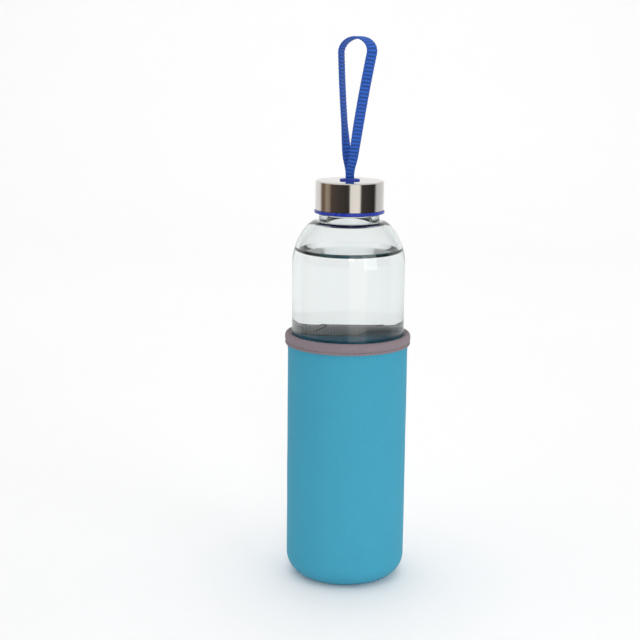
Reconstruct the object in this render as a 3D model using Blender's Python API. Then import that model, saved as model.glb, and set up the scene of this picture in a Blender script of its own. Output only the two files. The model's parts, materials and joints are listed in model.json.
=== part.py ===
"""Glass water bottle: a domed glass body, a steel screw cap with a threaded plastic liner and a seal,
a webbing carrying strap held by a bar inside the cap, and a sewn neoprene sleeve.

Metres, +Z up. The origin is the middle of the sleeve's underside. Run it with
blender --background --python part.py, or from Blender's text editor.
"""

import math

import bmesh
import bpy
from mathutils import Matrix, Vector

MM = 0.001

# How the round pieces are faceted, and the gaps between pieces.
SIDES = 40  # facets round a turned piece
CLEARANCE = 0.3 * MM  # between two pieces that touch on the real bottle
RUNNING_GAP = 0.4 * MM  # between the threads of cap and neck
CUTTER_MARGIN = 2.0 * MM  # how far a cutter reaches past the wall that it cuts

# Glass body, measured from the foot of the glass.
GLASS_RADIUS = 32.5 * MM
GLASS_WALL = 2.5 * MM
GLASS_FLOOR = 4.5 * MM
BODY_HEIGHT = 183.2 * MM  # foot to the start of the dome
HEEL_RADIUS = 10.3 * MM
PUNT_DEPTH = 1.8 * MM
BORE_RADIUS = 13.3 * MM
COLLAR_RADIUS = 17.3 * MM
COLLAR_HEIGHT = 2.9 * MM
COLLAR_FILLET = 2.2 * MM
FINISH_RADIUS = 15.8 * MM  # the neck under its thread
FINISH_HEIGHT = 10.1 * MM  # collar to rim
RIM_ROUND = 0.7 * MM

# Two-start right-hand thread.
THREAD_STARTS = 2
THREAD_LEAD = 8.0 * MM  # rise for one full turn
THREAD_DEPTH = 1.2 * MM
THREAD_ROOT_WIDTH = 2.0 * MM
THREAD_CREST_WIDTH = 1.0 * MM
LINER_THREAD_ROOT_WIDTH = 1.8 * MM
LINER_THREAD_CREST_WIDTH = 0.9 * MM
THREAD_ABOVE_COLLAR = 2.8 * MM
THREAD_BELOW_RIM = 2.5 * MM
THREAD_FADE = math.radians(25)  # each ridge sinks into its wall over this angle
THREAD_SINK = 0.3 * MM  # how far a ridge is rooted in its wall
LINER_THREAD_DELAY = math.radians(20)

# Cap: liner, seal and steel shell.
LINER_WALL = 1.35 * MM
LINER_CEILING = 1.2 * MM
LINER_POCKET_WALL = 1.55 * MM
FLANGE_THICKNESS = 1.6 * MM
FLANGE_OVERHANG = 0.55 * MM  # beyond the steel shell
EDGE_CHAMFER = 0.3 * MM
SEAL_THICKNESS = 1.2 * MM
SHELL_WALL = 0.5 * MM
SHELL_CORNER = 1.0 * MM

# Strap, the bar that it is looped round, and the grommet that it leaves the cap through.
STRAP_WIDTH = 6.3 * MM
STRAP_ROOT_WIDTH = 5.0 * MM  # gathered where it enters the cap
STRAP_THICKNESS = 1.3 * MM
STRAP_HEIGHT = 78.4 * MM  # hinge to the outside of the loop's top
STRAP_TOP_HALF_WIDTH = 13.0 * MM  # of the round top, between the middles of the two runs
STRAP_TOP_RISE = 8.0 * MM  # height of the round top
STRAP_LEAN = 3.5 * MM  # how far the top of the loop stands to +X
STRAP_TURN = math.radians(41)  # the loop's plane, turned about the bottle's axis
STRAP_TURN_HEIGHT = 12.0 * MM  # over which the two runs spread from the slot into that plane
FRONT_RUN_TWIST = math.radians(20)  # each run turns this far between the slot and its top
REAR_RUN_TWIST = math.radians(60)
STRAP_TWIST_HEIGHT = 32.0 * MM  # over which the runs twist and widen
STRAP_STEP = 3.0 * MM
BAR_RADIUS = 0.9 * MM
BAR_LENGTH = 15.0 * MM
BAR_HEADROOM = 1.5 * MM
GROMMET_BORE_LENGTH = 9.1 * MM
GROMMET_WALL = 0.6 * MM
GROMMET_FLANGE = 0.6 * MM  # thickness
GROMMET_OVERHANG = 0.6 * MM  # of the flange, beyond the wall
STRAP_CLEARANCE = 0.5 * MM  # between strap and grommet, on each side
HINGE_ABOVE_CAP = 2.2 * MM
LOOP_BELOW_HINGE = 0.6 * MM  # where the moving part of the strap starts
TAIL_ABOVE_CAP = 0.3 * MM  # where the fixed part of the strap ends

# Neoprene sleeve.
NEOPRENE = 2.0 * MM
SLEEVE_FLOOR = 3.0 * MM
SLEEVE_HEIGHT = 145.1 * MM
SLEEVE_SEAM_ANGLE = math.radians(66)  # how far the wall wraps under the heel
BINDING_HEIGHT = 6.1 * MM
BINDING_INNER_HEIGHT = 5.2 * MM
BINDING_THICKNESS = 0.7 * MM
NEOPRENE_PINCHED = 1.2 * MM  # thickness under the binding
FLARE_HEIGHT = 3.0 * MM
SEWING_THREAD_RADIUS = 0.2 * MM
STITCH_PITCH = 3.2 * MM
SIDE_SEAM_ANGLE = math.radians(98)  # at the back, a little to -X
SIDE_SEAM_WIDTH = 3.0 * MM
SIDE_SEAM_MARGIN = 4.0 * MM

# Radii that follow from those.
THREAD_CREST = FINISH_RADIUS + THREAD_DEPTH
LINER_BORE = THREAD_CREST + RUNNING_GAP
LINER_RADIUS = LINER_BORE + LINER_WALL
SHELL_BORE = LINER_RADIUS + CLEARANCE
SHELL_RADIUS = SHELL_BORE + SHELL_WALL
SLEEVE_BORE = GLASS_RADIUS + CLEARANCE
SLEEVE_RADIUS = SLEEVE_BORE + NEOPRENE
SLEEVE_HEEL_RADIUS = HEEL_RADIUS + CLEARANCE + NEOPRENE
BINDING_BORE = SLEEVE_BORE + CLEARANCE / 2
PINCHED_BORE = BINDING_BORE + BINDING_THICKNESS + CLEARANCE
PINCHED_RADIUS = PINCHED_BORE + NEOPRENE_PINCHED
BINDING_RADIUS = PINCHED_RADIUS + CLEARANCE + BINDING_THICKNESS

# Heights in the bottle's own frame, whose origin is the foot of the glass.
JOIN_Z = BODY_HEIGHT + math.sqrt(GLASS_RADIUS**2 - (COLLAR_RADIUS + COLLAR_FILLET) ** 2)
COLLAR_TOP_Z = JOIN_Z + COLLAR_HEIGHT
RIM_Z = COLLAR_TOP_Z + FINISH_HEIGHT
THREAD_Z = COLLAR_TOP_Z + THREAD_ABOVE_COLLAR
THREAD_ANGLE = math.tau * (FINISH_HEIGHT - THREAD_ABOVE_COLLAR - THREAD_BELOW_RIM) / THREAD_LEAD

# Heights in the cap's own frame, whose origin is the underside of the liner's flange.
SEAL_Z = FINISH_HEIGHT
CEILING_Z = SEAL_Z + SEAL_THICKNESS + CLEARANCE
POCKET_Z = CEILING_Z + LINER_CEILING
BAR_Z = POCKET_Z + CLEARANCE + STRAP_THICKNESS + CLEARANCE + BAR_RADIUS
SHELL_CEILING_Z = BAR_Z + BAR_RADIUS + BAR_HEADROOM
SHELL_TOP_Z = SHELL_CEILING_Z + SHELL_WALL
SHELL_FOOT_Z = FLANGE_THICKNESS + CLEARANCE
HINGE_Z = SHELL_TOP_Z + HINGE_ABOVE_CAP

# The two runs of the strap lie back to back in the grommet.
RUN_OFFSET = (STRAP_THICKNESS + CLEARANCE) / 2
GROMMET_BORE_WIDTH = 2 * (RUN_OFFSET + STRAP_THICKNESS / 2 + STRAP_CLEARANCE)

BLUE_PLASTIC = ((0.018, 0.045, 0.36, 1.0), 0.32, 0.0)
STRAP_BLUE = ((0.022, 0.085, 0.5, 1.0), 0.75, 0.0)
STEEL = ((0.62, 0.6, 0.57, 1.0), 0.28, 1.0)
SILICONE = ((0.82, 0.84, 0.84, 1.0), 0.5, 0.0)
GLASS = ((0.9, 0.97, 0.95, 1.0), 0.02, 0.0)
TURQUOISE = ((0.02, 0.29, 0.47, 1.0), 0.85, 0.0)
TAUPE = ((0.25, 0.2, 0.21, 1.0), 0.85, 0.0)
THREAD_GREY = ((0.2, 0.16, 0.17, 1.0), 0.8, 0.0)
THREAD_TURQUOISE = ((0.03, 0.34, 0.52, 1.0), 0.8, 0.0)


def clear_scene():
    for old in list(bpy.data.objects):
        bpy.data.objects.remove(old)


def material(name, finish, transmission=0.0):
    """A Principled material from (colour, roughness, metallic)."""
    colour, roughness, metallic = finish
    made = bpy.data.materials.new(name)
    made.use_nodes = True
    shader = made.node_tree.nodes["Principled BSDF"]
    shader.inputs["Base Color"].default_value = colour
    shader.inputs["Roughness"].default_value = roughness
    shader.inputs["Metallic"].default_value = metallic
    shader.inputs["Transmission Weight"].default_value = transmission
    made.diffuse_color = colour
    return made


def empty(name, location, parent=None):
    """A frame that pieces are parented to. Its origin is on a joint's axis."""
    made = bpy.data.objects.new(name, None)
    bpy.context.scene.collection.objects.link(made)
    made.location = location
    made.parent = parent
    return made


def link_piece(name, data, parent, finish):
    made = bpy.data.objects.new(name, data)
    bpy.context.scene.collection.objects.link(made)
    made.parent = parent
    if finish:
        made.data.materials.append(finish)
    return made


def mesh_piece(name, bm, parent, finish):
    """Closes the bmesh into an object, shaded smooth except at its sharp edges."""
    bmesh.ops.remove_doubles(bm, verts=bm.verts, dist=1e-7)
    bmesh.ops.recalc_face_normals(bm, faces=bm.faces)
    mesh = bpy.data.meshes.new(name)
    bm.to_mesh(mesh)
    bm.free()
    mesh.shade_smooth()
    mesh.set_sharp_from_angle(angle=math.radians(35))
    return link_piece(name, mesh, parent, finish)


def helper(piece):
    """Marks a cutter or a tool body, which is no part of the bottle."""
    piece.hide_render = True
    piece.display_type = "WIRE"
    return piece


def combine(piece, other, operation):
    """Adds a live Boolean between a piece and a helper in the same frame."""
    modifier = piece.modifiers.new(other.name, "BOOLEAN")
    modifier.operation = operation
    modifier.object = helper(other)
    modifier.solver = "EXACT"


def arc(centre, radius, start, end, steps):
    """Points of an arc in the (r, z) plane, both ends included. Angles are in degrees from +r."""
    angles = [math.radians(start + (end - start) * i / steps) for i in range(steps + 1)]
    return [(centre[0] + radius * math.cos(a), centre[1] + radius * math.sin(a)) for a in angles]


def turned(name, outline, parent, finish, closed):
    """Spins an outline of (r, z) points about Z. An open outline starts and ends on the axis."""
    bm = bmesh.new()
    points = [bm.verts.new((r, 0, z)) for r, z in outline]
    edges = [bm.edges.new(pair) for pair in zip(points, points[1:])]
    if closed:
        edges.append(bm.edges.new((points[-1], points[0])))
    bmesh.ops.spin(
        bm,
        geom=points + edges,
        cent=(0, 0, 0),
        axis=(0, 0, 1),
        angle=math.tau,
        steps=SIDES,
        use_merge=True,
    )
    return mesh_piece(name, bm, parent, finish)


def helical_ridges(name, parent, root, crest, root_width, crest_width, start_z, start_angle, sweep):
    """One trapezoid ridge for each start of the thread, fading into its wall at both ends."""
    steps = max(8, round(SIDES * sweep / math.tau * 1.2))
    section = [
        (root, -root_width / 2),
        (root, root_width / 2),
        (crest, crest_width / 2),
        (crest, -crest_width / 2),
    ]
    bm = bmesh.new()
    for start in range(THREAD_STARTS):
        ring = [bm.verts.new((r, 0, start_z + z)) for r, z in section]
        edges = [bm.edges.new((ring[i], ring[i - 1])) for i in range(len(ring))]
        before = set(bm.verts) - set(ring)
        bmesh.ops.spin(
            bm,
            geom=ring + edges,
            cent=(0, 0, 0),
            axis=(0, 0, 1),
            dvec=(0, 0, THREAD_LEAD * sweep / math.tau / steps),
            angle=sweep,
            steps=steps,
        )
        made = [v for v in bm.verts if v not in before]
        for v in made:
            radius = math.hypot(v.co.x, v.co.y)
            along = math.atan2(v.co.y, v.co.x) % math.tau
            to_end = max(0.0, min(along, sweep - along, math.tau - along))
            share = min(1.0, 0.12 + to_end / THREAD_FADE)
            faded = root + (radius - root) * share
            v.co.x *= faded / radius
            v.co.y *= faded / radius
        turn = Matrix.Rotation(start_angle + math.tau * start / THREAD_STARTS, 3, "Z")
        bmesh.ops.rotate(bm, verts=made, cent=(0, 0, 0), matrix=turn)
    bmesh.ops.holes_fill(bm, edges=bm.edges, sides=0)
    return mesh_piece(name, bm, parent, None)


def glass_outline():
    """The bottle's section, from the underside of the punt round the outside and back along the inside."""
    foot_ring = GLASS_RADIUS - HEEL_RADIUS
    inner_radius = GLASS_RADIUS - GLASS_WALL
    inner_heel = HEEL_RADIUS - GLASS_WALL
    collar_meets = COLLAR_RADIUS + COLLAR_FILLET
    dome_end = math.degrees(math.acos(collar_meets / GLASS_RADIUS))
    inner_meets = BORE_RADIUS + COLLAR_FILLET / 2
    inner_end = math.degrees(math.acos(inner_meets / inner_radius))
    inner_top = BODY_HEIGHT + inner_radius * math.sin(math.radians(inner_end))
    outside = [(0, PUNT_DEPTH), (foot_ring * 0.6, PUNT_DEPTH * 0.8), (foot_ring * 0.92, 0)]
    outside += arc((foot_ring, HEEL_RADIUS), HEEL_RADIUS, -90, 0, 4)
    outside += arc((0, BODY_HEIGHT), GLASS_RADIUS, 0, dome_end, 8)
    outside += [
        (COLLAR_RADIUS + COLLAR_FILLET * 0.25, JOIN_Z + COLLAR_HEIGHT * 0.12),
        (COLLAR_RADIUS, JOIN_Z + COLLAR_HEIGHT * 0.4),
        (COLLAR_RADIUS, COLLAR_TOP_Z - EDGE_CHAMFER),
        (COLLAR_RADIUS - EDGE_CHAMFER, COLLAR_TOP_Z),
        (FINISH_RADIUS, COLLAR_TOP_Z),
    ]
    outside += arc((FINISH_RADIUS - RIM_ROUND, RIM_Z - RIM_ROUND), RIM_ROUND, 0, 90, 2)
    inside = arc((BORE_RADIUS + RIM_ROUND, RIM_Z - RIM_ROUND), RIM_ROUND, 90, 180, 2)
    inside += [(BORE_RADIUS, inner_top + COLLAR_FILLET)]
    inside += arc((0, BODY_HEIGHT), inner_radius, inner_end, 0, 6)
    inside += arc((foot_ring, GLASS_FLOOR + inner_heel), inner_heel, 0, -90, 3)
    inside += [(0, GLASS_FLOOR + PUNT_DEPTH)]
    return outside + inside


def make_bottle(parent):
    glass = turned(
        "bottle_glass", glass_outline(), parent, material("clear_glass", GLASS, 1.0), closed=False
    )
    ridges = helical_ridges(
        "neck_thread_tool",
        parent,
        FINISH_RADIUS - THREAD_SINK,
        THREAD_CREST,
        THREAD_ROOT_WIDTH,
        THREAD_CREST_WIDTH,
        THREAD_Z,
        0.0,
        THREAD_ANGLE,
    )
    combine(glass, ridges, "UNION")


def half_width(radius, root, crest, root_width, crest_width):
    """Half the width of a thread ridge at a radius."""
    share = (radius - root) / (crest - root)
    return (root_width + (crest_width - root_width) * share) / 2


def thread_stagger():
    """How far the liner's ridges run below the neck's, so that their flanks keep the running gap."""
    liner_crest = LINER_BORE - THREAD_DEPTH
    sums = []
    for radius in (liner_crest, THREAD_CREST):
        neck = half_width(
            radius, FINISH_RADIUS, THREAD_CREST, THREAD_ROOT_WIDTH, THREAD_CREST_WIDTH
        )
        liner = half_width(
            radius, LINER_BORE, liner_crest, LINER_THREAD_ROOT_WIDTH, LINER_THREAD_CREST_WIDTH
        )
        sums.append(neck + liner)
    return max(sums) + RUNNING_GAP


def make_liner(parent, finish):
    flange_radius = SHELL_RADIUS + FLANGE_OVERHANG
    pocket_radius = LINER_RADIUS - LINER_POCKET_WALL
    outline = [
        (0, POCKET_Z),
        (pocket_radius, POCKET_Z),
        (pocket_radius, SHELL_CEILING_Z - SHELL_CORNER),
        (pocket_radius + EDGE_CHAMFER, SHELL_CEILING_Z - CLEARANCE),
        (LINER_RADIUS - SHELL_CORNER, SHELL_CEILING_Z - CLEARANCE),
        (LINER_RADIUS, SHELL_CEILING_Z - CLEARANCE - SHELL_CORNER),
        (LINER_RADIUS, FLANGE_THICKNESS),
        (flange_radius - EDGE_CHAMFER, FLANGE_THICKNESS),
        (flange_radius, FLANGE_THICKNESS - EDGE_CHAMFER),
        (flange_radius, EDGE_CHAMFER),
        (flange_radius - EDGE_CHAMFER, 0),
        (LINER_BORE + EDGE_CHAMFER, 0),
        (LINER_BORE, EDGE_CHAMFER),
        (LINER_BORE, CEILING_Z),
        (0, CEILING_Z),
    ]
    liner = turned("cap_liner", outline, parent, finish, closed=False)
    cap_origin = COLLAR_TOP_Z + CLEARANCE
    ridges = helical_ridges(
        "liner_thread_tool",
        parent,
        LINER_BORE + THREAD_SINK,
        LINER_BORE - THREAD_DEPTH,
        LINER_THREAD_ROOT_WIDTH,
        LINER_THREAD_CREST_WIDTH,
        THREAD_Z - cap_origin - thread_stagger() + THREAD_LEAD * LINER_THREAD_DELAY / math.tau,
        LINER_THREAD_DELAY,
        THREAD_ANGLE - LINER_THREAD_DELAY / 2,
    )
    combine(liner, ridges, "UNION")


def make_seal(parent):
    radii = (BORE_RADIUS - CLEARANCE / 2, LINER_BORE - RUNNING_GAP)
    outline = [
        (radii[0], SEAL_Z),
        (radii[1], SEAL_Z),
        (radii[1], SEAL_Z + SEAL_THICKNESS),
        (radii[0], SEAL_Z + SEAL_THICKNESS),
    ]
    turned("cap_seal", outline, parent, material("white_silicone", SILICONE), closed=True)


def slot_outline(grown):
    """The grommet's bore as (x, y) points, grown outwards by a margin: a slot along X with round ends."""
    end = GROMMET_BORE_WIDTH / 2
    centre = GROMMET_BORE_LENGTH / 2 - end
    return arc((centre, 0), end + grown, -90, 90, 6) + arc((-centre, 0), end + grown, 90, 270, 6)


def slot_cutter(parent):
    """A rounded bar through the top of the shell, where the grommet's wall goes."""
    outline = slot_outline(GROMMET_WALL + CLEARANCE)
    bm = bmesh.new()
    face = bm.faces.new([bm.verts.new((x, y, SHELL_CEILING_Z - CUTTER_MARGIN)) for x, y in outline])
    raised = bmesh.ops.extrude_face_region(bm, geom=[face])["geom"]
    lift = (0, 0, SHELL_WALL + 2 * CUTTER_MARGIN)
    bmesh.ops.translate(bm, verts=[g for g in raised if isinstance(g, bmesh.types.BMVert)], vec=lift)
    return mesh_piece("slot_tool", bm, parent, None)


def make_shell(parent):
    inner_corner = SHELL_CORNER - SHELL_WALL
    outline = [(0, SHELL_TOP_Z)]
    outline += arc((SHELL_RADIUS - SHELL_CORNER, SHELL_TOP_Z - SHELL_CORNER), SHELL_CORNER, 90, 0, 3)
    outline += [(SHELL_RADIUS, SHELL_FOOT_Z), (SHELL_BORE, SHELL_FOOT_Z)]
    outline += arc((SHELL_BORE - inner_corner, SHELL_CEILING_Z - inner_corner), inner_corner, 0, 90, 2)
    outline += [(0, SHELL_CEILING_Z)]
    shell = turned("cap_shell", outline, parent, material("steel", STEEL), closed=False)
    combine(shell, slot_cutter(parent), "DIFFERENCE")


def make_grommet(parent, finish):
    """A flanged bush in the shell's slot: loops from the bore's top round the flange and the wall."""
    low = SHELL_CEILING_Z
    seat = SHELL_TOP_Z + CLEARANCE
    top = seat + GROMMET_FLANGE
    flange = GROMMET_WALL + GROMMET_OVERHANG
    section = [
        (0, top),
        (flange - EDGE_CHAMFER, top),
        (flange, top - EDGE_CHAMFER),
        (flange, seat),
        (GROMMET_WALL, seat),
        (GROMMET_WALL, low),
        (0, low),
    ]
    bm = bmesh.new()
    rings = [[bm.verts.new((x, y, z)) for x, y in slot_outline(grown)] for grown, z in section]
    for first, second in zip(rings, rings[1:] + rings[:1]):
        for i in range(len(first)):
            bm.faces.new((first[i - 1], first[i], second[i], second[i - 1]))
    mesh_piece("slot_grommet", bm, parent, finish)


def swept_strip(name, stations, parent, finish):
    """A flat strip through stations of (centre, along, across, width), with square cut ends."""
    bm = bmesh.new()
    loops = []
    for centre, along, across, width in stations:
        normal = along.cross(across).normalized()
        side = normal.cross(along).normalized() * (width / 2)
        up = normal * (STRAP_THICKNESS / 2)
        ring = [bm.verts.new(centre + a * side + b * up) for a, b in ((1, 1), (-1, 1), (-1, -1), (1, -1))]
        loops.append([bm.edges.new((ring[i], ring[i - 1])) for i in range(4)])
    for first, second in zip(loops, loops[1:]):
        bmesh.ops.bridge_loops(bm, edges=first + second)
    for loop in (loops[0], loops[-1]):
        bmesh.ops.contextual_create(bm, geom=loop)
    return mesh_piece(name, bm, parent, finish)


def loop_points():
    """The strap's centreline in its own plane, as (towards the front, up): a straight run up to an
    elliptical top and a straight run down, from the front of the slot to its back. It is worked out
    with heights stretched until the ellipse is a circle, and then squashed."""
    radius = STRAP_TOP_HALF_WIDTH
    squash = STRAP_TOP_RISE / radius
    height = (STRAP_HEIGHT - STRAP_THICKNESS / 2 - STRAP_TOP_RISE) / squash
    foot = -LOOP_BELOW_HINGE / squash
    span = math.hypot(RUN_OFFSET, height - foot)
    # The tangent from the foot (RUN_OFFSET, foot) to the circle about (0, height).
    touch = math.asin(radius / span) - math.atan2(RUN_OFFSET, height - foot)
    start = Vector((RUN_OFFSET, foot))
    end = Vector((radius * math.cos(touch), height - radius * math.sin(touch)))
    runs = max(2, round((end - start).length * squash / STRAP_STEP))
    side = [start.lerp(end, i / runs) for i in range(runs)]
    turns = max(6, round(radius * (math.pi + 2 * touch) / STRAP_STEP))
    top = arc((0, height), radius, -math.degrees(touch), 180 + math.degrees(touch), turns)
    points = side + top + [Vector((-p.x, p.y)) for p in reversed(side)]
    return [Vector((front, up * squash)) for front, up in points]


def smooth_step(share):
    share = max(0.0, min(1.0, share))
    return share * share * (3 - 2 * share)


def strap_in_space(point):
    """A point of the loop's plane, leaned to +X and turned about Z, in the hinge's frame."""
    front, up = point
    rise = max(0.0, up) / STRAP_HEIGHT
    turn = STRAP_TURN * smooth_step(up / STRAP_TURN_HEIGHT)
    return Vector((front * math.sin(turn) + STRAP_LEAN * rise**2, -front * math.cos(turn), up))


def make_strap_loop(parent, finish):
    flat = loop_points()
    centres = [strap_in_space(p) for p in flat]
    stations = []
    for i, centre in enumerate(centres):
        along = centres[min(i + 1, len(centres) - 1)] - centres[max(i - 1, 0)]
        eased = smooth_step(centre.z / STRAP_TWIST_HEIGHT)
        over = smooth_step(3 * i / (len(centres) - 1) - 1)  # 0 up the front run, 1 down the rear
        twist = eased * (FRONT_RUN_TWIST + (REAR_RUN_TWIST - FRONT_RUN_TWIST) * over)
        across = Vector((math.cos(twist), math.sin(twist), 0))
        width = STRAP_ROOT_WIDTH + (STRAP_WIDTH - STRAP_ROOT_WIDTH) * eased
        stations.append((centre, along.normalized(), across, width))
    # The foot of each run is cut level, above the grommet.
    for end in (0, -1):
        centre, along, across, width = stations[end]
        upright = Vector((0, 0, math.copysign(1, along.z)))
        stations[end] = (Vector((0, centre.y, centre.z)), upright, across, width)
    swept_strip("strap_loop", stations, parent, finish)


def make_strap_tail(parent, finish):
    """The part of the strap inside the cap: down through the grommet, round the bar and up again."""
    bend = BAR_RADIUS + CLEARANCE + STRAP_THICKNESS / 2
    below_grommet = SHELL_CEILING_Z - CLEARANCE
    half = [Vector((0, -RUN_OFFSET, z)) for z in (SHELL_TOP_Z + TAIL_ABOVE_CAP, below_grommet)]
    turn = [Vector((0, y, z)) for y, z in arc((0, BAR_Z), bend, 180, 360, 8)]
    centres = half + turn + [Vector((0, -p.y, p.z)) for p in reversed(half)]
    across = Vector((1, 0, 0))
    stations = []
    for i, centre in enumerate(centres):
        along = centres[min(i + 1, len(centres) - 1)] - centres[max(i - 1, 0)]
        stations.append((centre, along.normalized(), across, STRAP_ROOT_WIDTH))
    for end, heading in ((0, -1), (-1, 1)):
        centre, _, _, width = stations[end]
        stations[end] = (centre, Vector((0, 0, heading)), across, width)
    swept_strip("strap_tail", stations, parent, finish)


def make_bar(parent):
    bm = bmesh.new()
    lie_along_x = Matrix.Translation((0, 0, BAR_Z)) @ Matrix.Rotation(math.pi / 2, 4, "Y")
    bmesh.ops.create_cone(
        bm,
        cap_ends=True,
        segments=12,
        radius1=BAR_RADIUS,
        radius2=BAR_RADIUS,
        depth=BAR_LENGTH,
        matrix=lie_along_x,
    )
    mesh_piece("strap_bar", bm, parent, material("bar_steel", STEEL))


def heel_point(radius, angle):
    """A point of the sleeve's wrapped heel, in (r, z), at an angle below the level."""
    centre = (SLEEVE_RADIUS - SLEEVE_HEEL_RADIUS, SLEEVE_HEEL_RADIUS)
    return (centre[0] + radius * math.cos(angle), centre[1] - radius * math.sin(angle))


def make_sleeve_wall(parent, finish):
    """One tube of neoprene: pinched thin under the binding, straight, then wrapped under the heel."""
    heel_centre = heel_point(0, 0)
    seam = math.degrees(SLEEVE_SEAM_ANGLE)
    pinch_z = SLEEVE_HEIGHT - BINDING_HEIGHT + 2 * CLEARANCE
    outline = [
        (PINCHED_BORE, SLEEVE_HEIGHT),
        (PINCHED_RADIUS, SLEEVE_HEIGHT),
        (PINCHED_RADIUS, pinch_z),
        (SLEEVE_RADIUS, pinch_z - FLARE_HEIGHT),
    ]
    outline += arc(heel_centre, SLEEVE_HEEL_RADIUS, 0, -seam, 5)
    outline += arc(heel_centre, SLEEVE_HEEL_RADIUS - NEOPRENE, -seam, 0, 4)
    outline += [(SLEEVE_BORE, pinch_z - FLARE_HEIGHT), (PINCHED_BORE, pinch_z)]
    turned("sleeve_wall", outline, parent, finish, closed=True)


def make_sleeve_base(parent, finish):
    """The disc sewn into the wall's lower edge, with its flat underside on the table."""
    outer = heel_point(SLEEVE_HEEL_RADIUS, SLEEVE_SEAM_ANGLE)
    inner = heel_point(SLEEVE_HEEL_RADIUS - NEOPRENE, SLEEVE_SEAM_ANGLE)
    gap = CLEARANCE / math.sin(SLEEVE_SEAM_ANGLE)
    outline = [
        (0, SLEEVE_FLOOR),
        (inner[0] - gap, SLEEVE_FLOOR),
        (outer[0] - gap, outer[1]),
        (outer[0] - gap - 2 * outer[1], 0),
        (0, 0),
    ]
    turned("sleeve_base", outline, parent, finish, closed=False)


def make_binding(parent, finish):
    """Tape folded over the mouth of the sleeve: a long leg outside and a short one inside."""
    top = SLEEVE_HEIGHT + CLEARANCE
    crown = (BINDING_RADIUS - BINDING_BORE) / 2
    middle = (BINDING_RADIUS + BINDING_BORE) / 2
    outer_foot = SLEEVE_HEIGHT - BINDING_HEIGHT + BINDING_THICKNESS
    inner_foot = SLEEVE_HEIGHT - BINDING_INNER_HEIGHT + BINDING_THICKNESS
    crown_height = 2 * BINDING_THICKNESS
    outline = [(BINDING_RADIUS, outer_foot)]
    for angle in (15, 50, 90, 130, 165):
        a = math.radians(angle)
        outline.append((middle + crown * math.cos(a), top + crown_height * (math.sin(a) - 0.5)))
    outline += [
        (BINDING_BORE, inner_foot),
        (BINDING_BORE + BINDING_THICKNESS, inner_foot),
        (BINDING_BORE + BINDING_THICKNESS, top),
        (BINDING_RADIUS - BINDING_THICKNESS, top),
        (BINDING_RADIUS - BINDING_THICKNESS, outer_foot),
    ]
    turned("sleeve_binding", outline, parent, finish, closed=True)


def sewing_thread(name, points, parent, finish, closed):
    """A thread through a row of points, as a curve with a round bevel."""
    curve = bpy.data.curves.new(name, "CURVE")
    curve.dimensions = "3D"
    curve.bevel_depth = SEWING_THREAD_RADIUS
    curve.bevel_resolution = 0
    curve.use_fill_caps = True
    spline = curve.splines.new("POLY")
    spline.points.add(len(points) - 1)
    for place, point in zip(spline.points, points):
        place.co = (*point, 1)
    spline.use_cyclic_u = closed
    return link_piece(name, curve, parent, finish)


def around(radius, z, angle):
    return Vector((radius * math.cos(angle), radius * math.sin(angle), z))


def make_stitching(parent):
    grey = material("grey_thread", THREAD_GREY)
    turquoise = material("turquoise_thread", THREAD_TURQUOISE)
    stand_off = CLEARANCE + SEWING_THREAD_RADIUS
    stitches = 2 * SIDES

    binding_z = SLEEVE_HEIGHT - BINDING_HEIGHT + 3 * BINDING_THICKNESS
    ring = [
        around(BINDING_RADIUS + stand_off, binding_z, math.tau * i / stitches) for i in range(stitches)
    ]
    sewing_thread("binding_stitching", ring, parent, grey, closed=True)

    seam = heel_point(SLEEVE_HEEL_RADIUS + stand_off, SLEEVE_SEAM_ANGLE)
    ring = [around(seam[0], seam[1], math.tau * i / stitches) for i in range(stitches)]
    sewing_thread("base_stitching", ring, parent, turquoise, closed=True)

    low = SLEEVE_HEEL_RADIUS + SIDE_SEAM_MARGIN
    high = SLEEVE_HEIGHT - BINDING_HEIGHT - FLARE_HEIGHT - SIDE_SEAM_MARGIN
    count = 2 * round((high - low) / STITCH_PITCH)
    swing = SIDE_SEAM_WIDTH / 2 / SLEEVE_RADIUS
    zigzag = [
        around(
            SLEEVE_RADIUS + stand_off,
            low + (high - low) * i / count,
            SIDE_SEAM_ANGLE + (swing if i % 2 else -swing),
        )
        for i in range(count + 1)
    ]
    sewing_thread("side_seam_stitching", zigzag, parent, turquoise, closed=False)


def main():
    clear_scene()
    sleeve_frame = empty("sleeve_frame", (0, 0, 0))
    bottle_axis = empty("bottle_axis", (0, 0, SLEEVE_FLOOR + CLEARANCE), sleeve_frame)
    cap_axis = empty("cap_axis", (0, 0, COLLAR_TOP_Z + CLEARANCE), bottle_axis)
    strap_hinge = empty("strap_hinge", (0, 0, HINGE_Z), cap_axis)

    neoprene = material("neoprene", TURQUOISE)
    webbing = material("webbing", STRAP_BLUE)
    blue = material("blue_plastic", BLUE_PLASTIC)
    make_sleeve_wall(sleeve_frame, neoprene)
    make_sleeve_base(sleeve_frame, neoprene)
    make_binding(sleeve_frame, material("binding_tape", TAUPE))
    make_stitching(sleeve_frame)
    make_bottle(bottle_axis)
    make_seal(cap_axis)
    make_liner(cap_axis, blue)
    make_shell(cap_axis)
    make_grommet(cap_axis, blue)
    make_bar(cap_axis)
    make_strap_tail(cap_axis, webbing)
    make_strap_loop(strap_hinge, webbing)


main()
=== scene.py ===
"""The looks of a glass water bottle with a steel cap, a webbing strap and a neoprene sleeve."""

import itertools
import json
import math

import bmesh
import bpy
from bpy.props import FloatProperty, FloatVectorProperty, IntProperty, PointerProperty
from mathutils import Matrix, Vector, noise


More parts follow.
